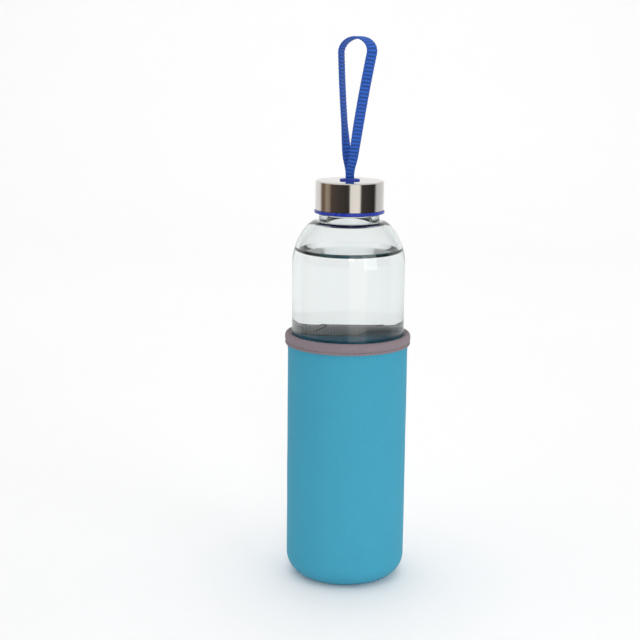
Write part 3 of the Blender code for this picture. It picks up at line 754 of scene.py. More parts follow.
class BOTTLE_OT_glass(bpy.types.Operator):
    """Blow the glass body, with its dome, collar and threaded neck"""

    bl_idname = "bottle.glass"
    bl_label = "Glass Body"

    def execute(self, context):
        sizes, colours = context.scene.bottle_sizes, context.scene.bottle_colours
        made = piece("glass_body", turned(glass_outline(sizes), sizes.sides, closed=False))
        start_z, sweep = thread_places(sizes)
        root, crest = sizes.neck - THREAD_SINK, sizes.neck + sizes.thread_depth
        ridges = thread_ridges(sizes, root, crest, 2.0 * MM, 1.0 * MM, start_z, 0.0, sweep)
        combined(made, ridges, "UNION")
        dress(made, "bottle", "clear_glass", glass_material(colours), "bottle_glass")
        return {"FINISHED"}


class BOTTLE_OT_water(bpy.types.Operator):
    """Fill the bottle, with the drink climbing a little at the glass"""

    bl_idname = "bottle.water"
    bl_label = "Drink"

    def execute(self, context):
        sizes, colours = context.scene.bottle_sizes, context.scene.bottle_colours
        inner, _ = dome_inside(sizes)
        bite = 0.12 * MM  # the drink's skin lies inside the glass, so that no air shows between
        dome_z = FOOT_Z + sizes.dome_start
        floor_z = FOOT_Z + sizes.glass_floor
        foot_ring = GLASS_RADIUS - sizes.heel
        inner_heel = sizes.heel - sizes.glass_wall + bite
        level = sizes.water_level
        up = max(0.0, level + sizes.meniscus - dome_z)
        end = math.degrees(math.asin(up / (inner + bite)))
        shares = (0.0, 0.3, 0.6, 0.85)
        outline = [(foot_ring * s, floor_z + sizes.punt * (1 - s**2) - bite) for s in shares]
        outline += arc((foot_ring, floor_z + inner_heel - bite), inner_heel, -90, 0, 10)
        outline += divided((inner + bite, floor_z + inner_heel), (inner + bite, dome_z), 10)[1:]
        outline += arc((0, dome_z), inner + bite, 0, end, 6)
        edge = (inner + bite) * math.cos(math.radians(end))
        decay = 1.1  # millimetres
        for reach in (0.3, 0.7, 1.2, 1.9, 2.8, 4.0, 5.5):
            outline.append((edge - reach * MM, level + sizes.meniscus * math.exp(-reach / decay)))
        outline += [(edge * 0.6, level), (0, level)]
        made = piece("water_fill", turned(outline, sizes.sides, closed=False), sharp=50)
        dress(made, "bottle", "clear_glass", water_material("still_water", colours, 0.0))
        # The climbing edge's material, with its painted shade.
        made.data.materials.append(water_material("water_line_painted_shade", colours, 1.0))
        for face in made.data.polygons:
            inward = face.normal.to_2d().dot(face.center.to_2d()) < 0
            if face.center.z > level + 0.12 * MM and inward:
                face.material_index = 1
        return {"FINISHED"}


# Cap


def slot_face(bm, z, grown):
    """A face as wide as the slot's bush, grown outwards, with round ends along X."""
    end, centre = GROMMET_HIGH.y + grown, GROMMET_HIGH.x - GROMMET_HIGH.y
    points = arc((centre, 0), end, -90, 90, 10) + arc((-centre, 0), end, 90, 270, 10)
    return bm.faces.new([bm.verts.new((x, y, z)) for x, y in points])


class BOTTLE_OT_shell(bpy.types.Operator):
    """Draw the cap's brushed steel shell and cut its slot"""

    bl_idname = "bottle.shell"
    bl_label = "Steel Shell"

    def execute(self, context):
        sizes, colours = context.scene.bottle_sizes, context.scene.bottle_colours
        wall, corner = sizes.shell_wall, sizes.shell_corner
        inner, chamfer = SHELL_RADIUS - wall, 0.1 * MM
        outline = [(0, SHELL_TOP_Z), (SHELL_RADIUS * 0.5, SHELL_TOP_Z)]
        outline += arc((SHELL_RADIUS - corner, SHELL_TOP_Z - corner), corner, 90, 0, 8)
        outline += [(SHELL_RADIUS, SHELL_LOW.z + chamfer), (SHELL_RADIUS - chamfer, SHELL_LOW.z)]
        outline += [(inner, SHELL_LOW.z)]
        outline += arc((inner - corner + wall, SHELL_TOP_Z - corner), corner - wall, 0, 90, 4)
        outline += [(0, SHELL_TOP_Z - wall)]
        made = piece("steel_shell", turned(outline, sizes.sides, closed=False))
        cutter, through = bmesh.new(), 2 * MM
        face = slot_face(cutter, SHELL_TOP_Z - through, -0.35 * MM)  # under the bush's flange
        extruded(cutter, face, (0, 0, 2 * through))
        combined(made, piece("slot_tool", cutter), "DIFFERENCE")
        dress(made, "cap", "steel", steel_material(colours), "cap_shell")
        return {"FINISHED"}


class BOTTLE_OT_liner(bpy.types.Operator):
    """Mould the cap's threaded blue liner, whose flange is the ring under the steel"""

    bl_idname = "bottle.liner"
    bl_label = "Plastic Liner"

    def execute(self, context):
        sizes, colours = context.scene.bottle_sizes, context.scene.bottle_colours
        running_gap, seal_gap, chamfer = 0.4 * MM, 0.3 * MM, 0.3 * MM
        corner, lip = 1.0 * MM, 0.5 * MM  # radii of the top and of the flange's edge
        bore = sizes.neck + sizes.thread_depth + running_gap
        radius = bore + sizes.liner_wall
        ceiling = SEAL_HIGH.z + seal_gap
        pocket = ceiling + 1.2 * MM  # over the ceiling's thickness
        pocket_wall = radius - 1.55 * MM
        flange_top = CAP_Z + sizes.flange + 0.15 * MM
        edge = LINER_HIGH.x - lip
        outline = [(0, pocket), (pocket_wall, pocket), (pocket_wall, LINER_HIGH.z)]
        outline += arc((radius - corner, LINER_HIGH.z - corner), corner, 90, 0, 5)
        outline += [(radius, flange_top)]
        outline += arc((edge, flange_top - lip), lip, 90, 0, 4)
        outline += arc((edge, CAP_Z + lip), lip, 0, -90, 4)
        outline += [(bore + chamfer, CAP_Z), (bore, CAP_Z + chamfer), (bore, ceiling), (0, ceiling)]
        made = piece("blue_liner", turned(outline, sizes.sides, closed=False))
        start_z, sweep = thread_places(sizes)
        delay = math.radians(20)
        drop = 2.15 * MM  # below the neck's ridges, which it draws down on
        start_z += sizes.thread_lead * delay / math.tau - drop
        root, crest = bore + THREAD_SINK, bore - sizes.thread_depth
        sweep -= delay / 2
        ridges = thread_ridges(sizes, root, crest, 1.8 * MM, 0.9 * MM, start_z, delay, sweep)
        combined(made, ridges, "UNION")
        dress(made, "cap", "blue_plastic", plastic_material(colours), "cap_liner")
        return {"FINISHED"}


class BOTTLE_OT_seal(bpy.types.Operator):
    """Mould the silicone ring that seals the rim"""

    bl_idname = "bottle.seal"
    bl_label = "Seal"

    def execute(self, context):
        sizes, colours = context.scene.bottle_sizes, context.scene.bottle_colours
        inner, outer, corner = sizes.bore - 0.15 * MM, SEAL_HIGH.x, 0.35 * MM
        outline = []
        for r, z, start in (
            (outer - corner, SEAL_HIGH.z - corner, 0),
            (inner + corner, SEAL_HIGH.z - corner, 90),
            (inner + corner, SEAL_LOW.z + corner, 180),
            (outer - corner, SEAL_LOW.z + corner, 270),
        ):
            outline += arc((r, z), corner, start, start + 90, 4)
        made = piece("seal_ring", turned(outline, sizes.sides, closed=True))
        dress(made, "cap_lift", "white_silicone", silicone_material(colours), "cap_seal")
        return {"FINISHED"}


class BOTTLE_OT_grommet(bpy.types.Operator):
    """Mould the blue bush that lines the slot, with its round-edged flange"""

    bl_idname = "bottle.grommet"
    bl_label = "Slot Bush"

    def execute(self, context):
        colours = context.scene.bottle_colours
        wall, overhang = 0.6 * MM, 0.6 * MM
        seat = SHELL_TOP_Z - 0.02 * MM  # the flange bites into the steel, so that no light shows
        bm = bmesh.new()
        low = slot_face(bm, seat, 0.0)
        rise = GROMMET_HIGH.z - seat
        top = extruded(bm, low, (0, 0, rise))
        rim = list(top.edges)
        bmesh.ops.inset_region(bm, faces=[top], thickness=wall + overhang, use_even_offset=True)
        low = next(f for f in bm.faces if len(f.verts) > 4 and f.calc_center_median().z < seat + rise / 2)
        bmesh.ops.inset_region(bm, faces=[low], thickness=overhang, use_even_offset=True)
        bottom = extruded(bm, low, (0, 0, GROMMET_LOW.z - seat))
        bmesh.ops.inset_region(bm, faces=[bottom], thickness=wall, use_even_offset=True)
        ends = list(top.edges) + list(bottom.edges)
        bmesh.ops.delete(bm, geom=[f for f in bm.faces if len(f.verts) > 4], context="FACES_ONLY")
        bmesh.ops.bridge_loops(bm, edges=ends)
        rounded(bm, rim, 0.35 * MM, 4)
        made = piece("slot_bush", bm)
        dress(made, "cap", "blue_plastic", plastic_material(colours), "slot_grommet")
        return {"FINISHED"}


class BOTTLE_OT_bar(bpy.types.Operator):
    """Turn the round-ended steel bar that the strap is looped round"""

    bl_idname = "bottle.bar"
    bl_label = "Strap Bar"

    def execute(self, context):
        colours = context.scene.bottle_colours
        radius = BAR_HIGH.z - BAR_Z
        bm = bmesh.new()
        place = Matrix.Translation((0, 0, BAR_Z)) @ Matrix.Rotation(math.pi / 2, 4, "Y")
        long = BAR_HIGH.x - BAR_LOW.x
        bmesh.ops.create_cone(
            bm, cap_ends=True, segments=32, radius1=radius, radius2=radius, depth=long, matrix=place
        )
        ends = [e for e in bm.edges if abs(e.verts[0].co.x - e.verts[1].co.x) < 1e-6]
        rounded(bm, ends, 0.3 * MM, 3)
        made = piece("bar_pin", bm)
        dress(made, "cap", "bar_steel", steel_material(colours), "strap_bar")
        return {"FINISHED"}


# Strap

STRAP_LEAN = 3.5 * MM
STRAP_TURN = math.radians(41)
STRAP_TURN_HEIGHT = 12 * MM
STRAP_TOP_HALF_WIDTH = 13 * MM
STRAP_TOP_RISE = 8 * MM
STRAP_TWIST_HEIGHT = 32 * MM
FRONT_TWIST, REAR_TWIST = math.radians(20), math.radians(60)
LOOP_FOOT = 0.6 * MM
HALF_STRAP = 0.65 * MM  # half the thickness that the CAD's route allows for
RIB_STEPS = 7  # stations along one cross rib


def loop_stations(sizes, offset):
    """The strap above the cap, as (place, twist, width): up in front, over the top and down behind."""
    height = LOOP_HIGH.z - HINGE_Z
    squash = STRAP_TOP_RISE / STRAP_TOP_HALF_WIDTH
    middle = (height - HALF_STRAP - STRAP_TOP_RISE) / squash
    foot = -LOOP_FOOT / squash
    span = math.hypot(offset, middle - foot)
    touch = math.asin(STRAP_TOP_HALF_WIDTH / span) - math.atan2(offset, middle - foot)
    start = (offset, foot)
    end = (STRAP_TOP_HALF_WIDTH * math.cos(touch), middle - STRAP_TOP_HALF_WIDTH * math.sin(touch))
    side = divided(start, end, 70)
    low = -math.degrees(touch)
    over_top = arc((0, middle), STRAP_TOP_HALF_WIDTH, low, 180 - low, 60)
    flat = side + over_top + [(-x, z) for x, z in reversed(side)]
    stations = []
    for i, (front, up) in enumerate(flat):
        up *= squash
        rise = max(0.0, up) / height
        turn = STRAP_TURN * smooth_step(up / STRAP_TURN_HEIGHT)
        lean = STRAP_LEAN * rise**2
        place = Vector((front * math.sin(turn) + lean, -front * math.cos(turn), HINGE_Z + up))
        eased = smooth_step(up / STRAP_TWIST_HEIGHT)
        over = smooth_step(3 * i / (len(flat) - 1) - 1)
        twist = eased * (FRONT_TWIST + (REAR_TWIST - FRONT_TWIST) * over)
        width = sizes.strap_root + (sizes.strap_width - sizes.strap_root) * eased
        stations.append((place, twist, width))
    return stations


def tail_stations(sizes, offset):
    """The strap inside the cap: down behind, under the bar and up in front."""
    bend = BAR_HIGH.z - BAR_Z + 0.3 * MM + HALF_STRAP
    neck_z = GROMMET_LOW.z - 0.3 * MM
    down = divided((offset, HINGE_Z - LOOP_FOOT), (offset, neck_z), 8)[1:]
    down += divided((offset, neck_z), (bend, BAR_Z), 6)
    turn = arc((0, BAR_Z), bend, 0, -180, 18)
    points = down + turn + [(-y, z) for y, z in reversed(down)]
    return [(Vector((0, y, z)), 0.0, sizes.strap_root) for y, z in points]


def evenly(stations, step):
    """A closed row of stations, placed afresh at even steps along it."""
    ring = stations + stations[:1]
    lengths = [0.0]
    for a, b in zip(ring, ring[1:]):
        lengths.append(lengths[-1] + (b[0] - a[0]).length)
    count = round(lengths[-1] / step)
    fresh, j = [], 0
    for i in range(count):
        want = lengths[-1] * i / count
        while lengths[j + 1] < want:
            j += 1
        share = (want - lengths[j]) / (lengths[j + 1] - lengths[j])
        fresh.append(tuple(a + (b - a) * share for a, b in zip(ring[j], ring[j + 1])))
    return fresh


def direction(stations, i):
    """Which way a closed row of stations runs at one of them."""
    return (stations[(i + 1) % len(stations)][0] - stations[i - 1][0]).normalized()


def strap_section(width, thickness):
    """Half-round edges and flat faces, as (across, through) points."""
    half, flat = thickness / 2, width / 2 - thickness / 2
    right = arc((flat, 0), half, -90, 90, 6)
    left = arc((-flat, 0), half, 90, 270, 6)
    between = [flat * s for s in (0.6, 0.2, -0.2, -0.6)]
    return right + [(a, half) for a in between] + left + [(-a, -half) for a in between]


class BOTTLE_OT_strap(bpy.types.Operator):
    """Weave the cross-ribbed strap, one closed loop round the bar and up through the slot"""

    bl_idname = "bottle.strap"
    bl_label = "Webbing Strap"

    def execute(self, context):
        sizes, colours = context.scene.bottle_sizes, context.scene.bottle_colours
        offset = 0.8 * MM  # of each run's middle from the slot's
        route = loop_stations(sizes, offset) + tail_stations(sizes, offset)
        stations = evenly(route, sizes.strap_rib / RIB_STEPS)
        count = len(stations) - len(stations) % RIB_STEPS
        steps = [(stations[i][0] - stations[i - 1][0]).length for i in range(len(stations))]
        stations = evenly(stations, sum(steps) / count)[:count]
        rings = []
        for i, (place, twist, width) in enumerate(stations):
            along = direction(stations, i)
            across = Vector((math.cos(twist), math.sin(twist), 0))
            normal = along.cross(across).normalized()
            side = normal.cross(along).normalized()
            rib = abs(math.sin(math.pi * i / RIB_STEPS)) ** 0.6
            thickness = sizes.strap_thickness * (0.58 + 0.42 * rib)
            section = strap_section(width * (0.94 + 0.06 * rib), thickness)
            rings.append([place + side * a + normal * b for a, b in section])
        made = piece("webbing_strap", swept(rings, closed=True), sharp=0)
        self.weave_uv(made, stations)
        made.data.materials.append(webbing_material(colours))
        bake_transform(made)
        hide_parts("strap_loop", "strap_tail")
        return {"FINISHED"}

    def weave_uv(self, made, stations):
        """A UV map: metres across the strap, and ribs along it."""
        mesh = made.data
        layer = mesh.uv_layers.new(name="cloth")
        cells = {}
        cell = 2 * MM
        for i, station in enumerate(stations):
            cells.setdefault(tuple(int(c // cell) for c in station[0]), []).append(i)
        found = []
        for vertex in mesh.vertices:
            key = [int(c // cell) for c in vertex.co]
            near = [
                i
                for shift in itertools.product(range(-2, 3), repeat=3)
                for i in cells.get(tuple(k + s for k, s in zip(key, shift)), ())
            ]
            best = min(near, key=lambda i: self.misfit(stations, i, vertex.co))
            twist = stations[best][1]
            across = Vector((math.cos(twist), math.sin(twist), 0))
            found.append(((vertex.co - stations[best][0]).dot(across), best / RIB_STEPS))
        whole = len(stations) / RIB_STEPS
        for face in mesh.polygons:
            values = [found[v] for v in face.vertices]
            wraps = max(v[1] for v in values) - min(v[1] for v in values) > whole / 2
            for loop, (across, along) in zip(face.loop_indices, values):
                layer.data[loop].uv = (across, along + whole if wraps and along < whole / 2 else along)

    def misfit(self, stations, i, point):
        """How far a point is from a station's own plane, with its distance as a tie-break."""
        gap = point - stations[i][0]
        return abs(gap.dot(direction(stations, i))) * 20 + gap.length


# Sleeve


def heel_frame(sizes):
    """Centre and radius of the sleeve's wrapped heel."""
    radius = sizes.heel + 0.3 * MM + sizes.neoprene
    outer = GLASS_RADIUS + 0.3 * MM + sizes.neoprene
    return (outer - radius, radius), radius, outer


SLEEVE_SIDES = 240
SEAM_ANGLE = 66  # degrees below level at which the wall meets the base
SIDE_SEAM = math.radians(98)  # where the side seam stands, at the back
CREASE_ANGLE, CREASE_Z = math.radians(-86), 76 * MM  # a small dent at the front


def seam_count(sizes):
    """Overlock stitches round the base seam."""
    (centre, _), radius, _ = heel_frame(sizes)
    reach = centre + radius * math.cos(math.radians(SEAM_ANGLE))
    return round(math.tau * reach / sizes.seam_stitch)


def bell(distance, width):
    """1 at no distance, and next to nothing at twice the width."""
    return math.exp(-((distance / width) ** 2))


def pushed_out(vertex, distance):
    """Moves a point away from the bottle's axis."""
    x, y, z = vertex.co
    grown = 1 + distance / math.hypot(x, y)
    vertex.co = (x * grown, y * grown, z)


def softened(made, sizes):
    """Makes the sleeve's outside uneven, with a pulled-in side seam and a puckered base."""
    (centre, _), _, outer = heel_frame(sizes)
    count = seam_count(sizes)
    middle = outer - sizes.neoprene * 0.5
    for vertex in made.data.vertices:
        z = vertex.co.z
        r, angle = around_axis(vertex.co)
        outside = smooth_step((r - middle) / (0.3 * MM)) if z > centre * 0.3 else 1.0
        swell = 0.12 * MM * noise.noise(vertex.co * 38)
        apart = ((angle - SIDE_SEAM + math.pi) % math.tau - math.pi) * r
        groove = -0.5 * MM * bell(apart, 0.5 * MM)
        roll = 0.18 * MM * bell(abs(apart) - 1.6 * MM, 0.9 * MM)
        tilt = (angle - CREASE_ANGLE) * r + 0.1 * (z - CREASE_Z)
        crease = -0.22 * MM * bell(tilt, 0.8 * MM) * bell(z - CREASE_Z, 7 * MM)
        low = smooth_step((5 * MM - z) / (4 * MM))
        pucker = 0.22 * MM * math.cos(count * angle) * low
        pushed_out(vertex, (swell + groove + roll + crease) * outside + pucker)
        vertex.co.z = max(0.0, z - 0.25 * pucker)
    return made


class BOTTLE_OT_sleeve(bpy.types.Operator):
    """Cut and sew the neoprene wall and base of the sleeve"""

    bl_idname = "bottle.sleeve"
    bl_label = "Neoprene Sleeve"

    def execute(self, context):
        sizes, colours = context.scene.bottle_sizes, context.scene.bottle_colours
        heel_centre, radius, outer = heel_frame(sizes)
        inner = outer - sizes.neoprene
        top, pinch = WALL_HIGH.z, TAPE_LOW.z - 0.1 * MM
        gathered = WALL_HIGH.x - 0.1 * MM  # the wall's radius under the tape
        outline = [(gathered, top), (gathered, pinch + 1 * MM)]
        outline += [(gathered - 0.02 * MM, pinch - 0.4 * MM), (outer + 0.12 * MM, pinch - 1.8 * MM)]
        outline += divided((outer, pinch - 4 * MM), (outer, heel_centre[1]), 44)
        outline += arc(heel_centre, radius, 0, -SEAM_ANGLE, 16)
        outline.append(on_circle(heel_centre, radius - sizes.neoprene / 2, -SEAM_ANGLE - 1))
        outline += arc(heel_centre, radius - sizes.neoprene, -SEAM_ANGLE, 0, 12)
        outline += divided((inner, heel_centre[1]), (inner, pinch - 3 * MM), 20)[1:]
        outline += [(inner, pinch - 3 * MM), (inner + 0.9 * MM, pinch), (inner + 1.15 * MM, top)]
        shape = turned(outline, SLEEVE_SIDES, closed=True)
        wall = wrap_uv(softened(piece("sleeve_body", shape, sharp=50), sizes))
        dress(wall, "sleeve", "neoprene", jersey_outside(colours), "sleeve_wall")
        wall.data.materials.append(jersey_inside(colours))
        wall.data.materials.append(foam_material(colours))
        middle = outer - sizes.neoprene * 0.5
        for face in wall.data.polygons:
            reach = face.center.to_2d().length
            inward = face.normal.to_2d().dot(face.center.to_2d()) < 0
            if face.center.z > heel_centre[1]:
                face.material_index = 1 if reach < middle and inward else 0
            elif face.normal.z > 0.1 or (inward and reach < inner):
                face.material_index = 1

        # The base lies flat and rolls up into its seam.
        edge = BASE_HIGH.x
        outline = [(0, 0.0), (edge * 0.5, 0.0), (edge * 0.8, 0.0), (edge - 2.2 * MM, 0.02 * MM)]
        outline += [(edge - 1.2 * MM, 0.3 * MM), (edge - 0.4 * MM, 0.7 * MM), (edge, 1.2 * MM)]
        outline += [(edge - 0.3 * MM, BASE_HIGH.z), (edge * 0.5, BASE_HIGH.z), (0, BASE_HIGH.z)]
        base = piece("sleeve_foot", turned(outline, SLEEVE_SIDES, closed=False), sharp=50)
        count = seam_count(sizes)
        for vertex in base.data.vertices:
            r, angle = around_axis(vertex.co)
            if r > edge * 0.9:
                pushed_out(vertex, 0.2 * MM * math.cos(count * angle))
        layer = base.data.uv_layers.new(name="cloth")
        for loop in base.data.loops:
            layer.data[loop.index].uv = base.data.vertices[loop.vertex_index].co.xy
        dress(base, "sleeve", "neoprene", jersey_outside(colours), "sleeve_base")
        base.data.materials.append(jersey_inside(colours))
        for face in base.data.polygons:
            if face.normal.z > 0.5:
                face.material_index = 1
        return {"FINISHED"}


STITCH_RISE = 1.4 * MM  # of the tape's stitches above its lower edge


def tape_outline(sizes, grown=0.0):
    """Section of the folded tape: a stitched-down lip, a roll over the top and an inner leg."""
    r, low, top = TAPE_HIGH.x + grown, TAPE_LOW.z, TAPE_HIGH.z + grown
    thick = sizes.tape_thickness
    inner = GLASS_RADIUS + 0.4 * MM
    lip = ((-0.25, 0), (0.05, 0.1), (0.2, 0.45), (0.12, 0.95), (-0.28, 1.4))
    face = ((-0.1, 1.9), (0.22, 2.7), (0.38, 3.7), (0.3, 4.7))
    roll = ((r, -0.02, -0.75), (r, -0.5, -0.25), (r, -1.2, 0.02))
    roll += ((inner, 1.1, 0), (inner, 0.4, -0.3), (inner, 0.05, -0.9))
    outline = [(r + out * MM, low + up * MM) for out, up in lip + face]
    outline += [(start + out * MM, top + up * MM) for start, out, up in roll]
    outline += [(inner, low + 2.6 * MM), (inner + 0.05 * MM, low + 1.1 * MM)]
    outline += [(inner + thick - 0.05 * MM, low + 1.1 * MM), (inner + thick, top - thick)]
    return outline + [(r - thick, top - thick), (r - thick, low + 0.1 * MM)]


def tape_end(z):
    """Where the tape's slanted end lies at a height."""
    return SIDE_SEAM + math.radians(14) - (z - TAPE_LOW.z) / GLASS_RADIUS * 0.95


class BOTTLE_OT_tape(bpy.types.Operator):
    """Fold the binding tape over the sleeve's mouth, with its overlapped end at the side seam"""

    bl_idname = "bottle.tape"
    bl_label = "Binding Tape"

    def execute(self, context):
        sizes, colours = context.scene.bottle_sizes, context.scene.bottle_colours
        made = piece("binding_roll", turned(tape_outline(sizes), 300, closed=True), sharp=0)
        count = self.stitches(sizes)
        for vertex in made.data.vertices:
            x, y, z = vertex.co
            r, angle = around_axis(vertex.co)
            if r > TAPE_HIGH.x - sizes.tape_thickness * 0.8:
                near = bell(z - TAPE_LOW.z - STITCH_RISE, 0.9 * MM)
                pull = -0.09 * MM * math.cos(count * angle) * near
                slack = 0.1 * MM * noise.noise(Vector((x, y, 0)) * 55)
                pushed_out(vertex, pull + slack)
            elif z < TAPE_LOW.z + 1.5 * MM:
                turn = math.degrees(angle)
                lift = smooth_step((turn - 20) / 12) * smooth_step((99 - turn) / 8)
                ragged = noise.noise(Vector((x, y, 0)) * 90)
                vertex.co.z += 1.8 * MM * lift + 0.25 * MM * ragged
        wrap_uv(made)
        self.cover(made, colours, "sleeve_binding")

        outline = tape_outline(sizes, 0.42 * MM)[1:-4]
        fold = 34.5 * MM  # radius that parts the tape's outer leg from its inner one
        inside = [(r - 0.4 * MM if r > fold else r + 0.15 * MM, z - 0.2 * MM) for r, z in outline]
        bm = bmesh.new()
        points = [bm.verts.new((r, 0, z)) for r, z in outline + inside[::-1]]
        face = bm.faces.new(points)
        sweep = math.radians(26)
        bmesh.ops.spin(
            bm, geom=[face], cent=(0, 0, 0), axis=(0, 0, 1), angle=sweep, steps=20, use_merge=False
        )
        for vertex in bm.verts:
            vertex.co = Matrix.Rotation(tape_end(vertex.co.z) - sweep, 3, "Z") @ vertex.co
        end = piece("binding_end", bm, sharp=40)
        wrap_uv(end)
        self.cover(end, colours)
        return {"FINISHED"}

    def cover(self, made, colours, *nodes):
        """Dresses the tape, with its side inside the sleeve painted much lighter as painted light."""
        dress(made, "sleeve", "binding_tape", tape_material("ribbed_tape", colours.tape), *nodes)
        # The inner side's material holds painted light.
        made.data.materials.append(tape_material("tape_inside_painted_light", colours.tape_inside_painted_light))
        for face in made.data.polygons:
            inward = face.normal.to_2d().dot(face.center.to_2d().normalized()) < -0.6
            if inward and face.center.to_2d().length < GLASS_RADIUS + 1.0 * MM:
                face.material_index = 1

    @staticmethod
    def stitches(sizes):
        return round(math.tau * TAPE_HIGH.x / sizes.tape_stitch)


def thread_along(points, radius, sides=6):
    """A round thread through a row of points, as a bmesh with closed ends."""
    rings = []
    for i, point in enumerate(points):
        along = (points[min(i + 1, len(points) - 1)] - points[max(i - 1, 0)]).normalized()
        side = along.cross(Vector((0, 0, 1)) if abs(along.z) < 0.9 else Vector((1, 0, 0))).normalized()
        up = side.cross(along)
        thin = radius * (0.6 if i in (0, len(points) - 1) else 1.0)
        circle = arc((0, 0), thin, 0, 360 - 360 / sides, sides - 1)
        rings.append([point + side * x + up * y for x, y in circle])
    return swept(rings, closed=False)


class BOTTLE_OT_stitches(bpy.types.Operator):
    """Sew the tape, the base seam and the side seam, one thread stitch at a time"""

    bl_idname = "bottle.stitches"
    bl_label = "Stitches"

    def execute(self, context):
        sizes, colours = context.scene.bottle_sizes, context.scene.bottle_colours
        grey = thread_material("tape_thread", colours.tape_thread)
        turquoise = thread_material("seam_thread", colours.seam_thread)
        for name, sew, slot, material, node in (
            ("tape_lockstitch", self.lockstitch, "grey_thread", grey, "binding_stitching"),
            ("base_overlock", self.overlock, "turquoise_thread", turquoise, "base_stitching"),
            ("side_flatlock", self.flatlock, "turquoise_thread", turquoise, "side_seam_stitching"),
        ):
            dress(piece(name, sew(sizes), sharp=0), "sleeve", slot, material, node)
        return {"FINISHED"}

    def lockstitch(self, sizes):
        """Short stitches end to end in the tape's groove, each sunk at both ends, and a dark thread along
        the tape's slanted end as a painted shadow line where the end overlaps.
        """
        whole = bmesh.new()
        count = BOTTLE_OT_tape.stitches(sizes)
        z = TAPE_LOW.z + STITCH_RISE
        for i in range(count):
            points = []
            for share, sunk in ((0.04, 0.52), (0.2, 0.24), (0.5, 0.16), (0.8, 0.24), (0.96, 0.52)):
                angle = math.tau * (i + share) / count
                points.append(around(TAPE_HIGH.x - sunk * MM, z, angle))
            joined(whole, thread_along(points, sizes.thread))
        # Painted shadow: a dark thread along the tape's slanted end, standing for the shadow line of the
        # overlap.
        fold = [around(r, z, tape_end(z)) for r, z in tape_outline(sizes, 0.3 * MM)[2:16]]
        joined(whole, thread_along(fold, sizes.thread * 1.2))
        return whole

    def overlock(self, sizes):
        """Loops over the seam between wall and base, from the heel down to the base's edge."""
        whole = bmesh.new()
        centre, radius, _ = heel_frame(sizes)
        count = seam_count(sizes)
        for i in range(count):
            angle = math.tau * (i + 0.5) / count
            points = []
            for past_seam, proud, slew in (
                (-13, -0.2, -0.10),
                (-10, 0.14, -0.08),
                (-4, 0.2, -0.03),
                (1, 0.05, 0.03),
                (5, 0.12, 0.08),
                (8, -0.2, 0.1),
            ):
                r, z = on_circle(centre, radius + proud * MM, -SEAM_ANGLE - past_seam)
                points.append(around(r, max(z, 1.3 * sizes.thread), angle + slew * math.tau / count))
            joined(whole, thread_along(points, sizes.thread * 1.15))
        return whole

    def flatlock(self, sizes):
        """A ladder of threads across the side seam, joined by a zigzag."""
        whole = bmesh.new()
        _, _, outer = heel_frame(sizes)
        low, high = SIDE_LOW.z, SIDE_HIGH.z
        count = round((high - low) / (1.6 * MM))
        swing = 1.9 * MM / outer
        half = ((0.4, 0.26), (0.85, 0.2), (1.0, -0.25))
        crossing = [(-share, proud) for share, proud in half[::-1]] + [(0.0, 0.06), *half]
        for i in range(count):
            z = low + (high - low) * (i + 0.5) / count
            slope = 0.35 * MM if i % 2 else -0.35 * MM
            points = [
                around(outer + proud * MM, z + slope * share, SIDE_SEAM + swing * share)
                for share, proud in crossing
            ]
            joined(whole, thread_along(points, sizes.thread))
        return whole


# Studio


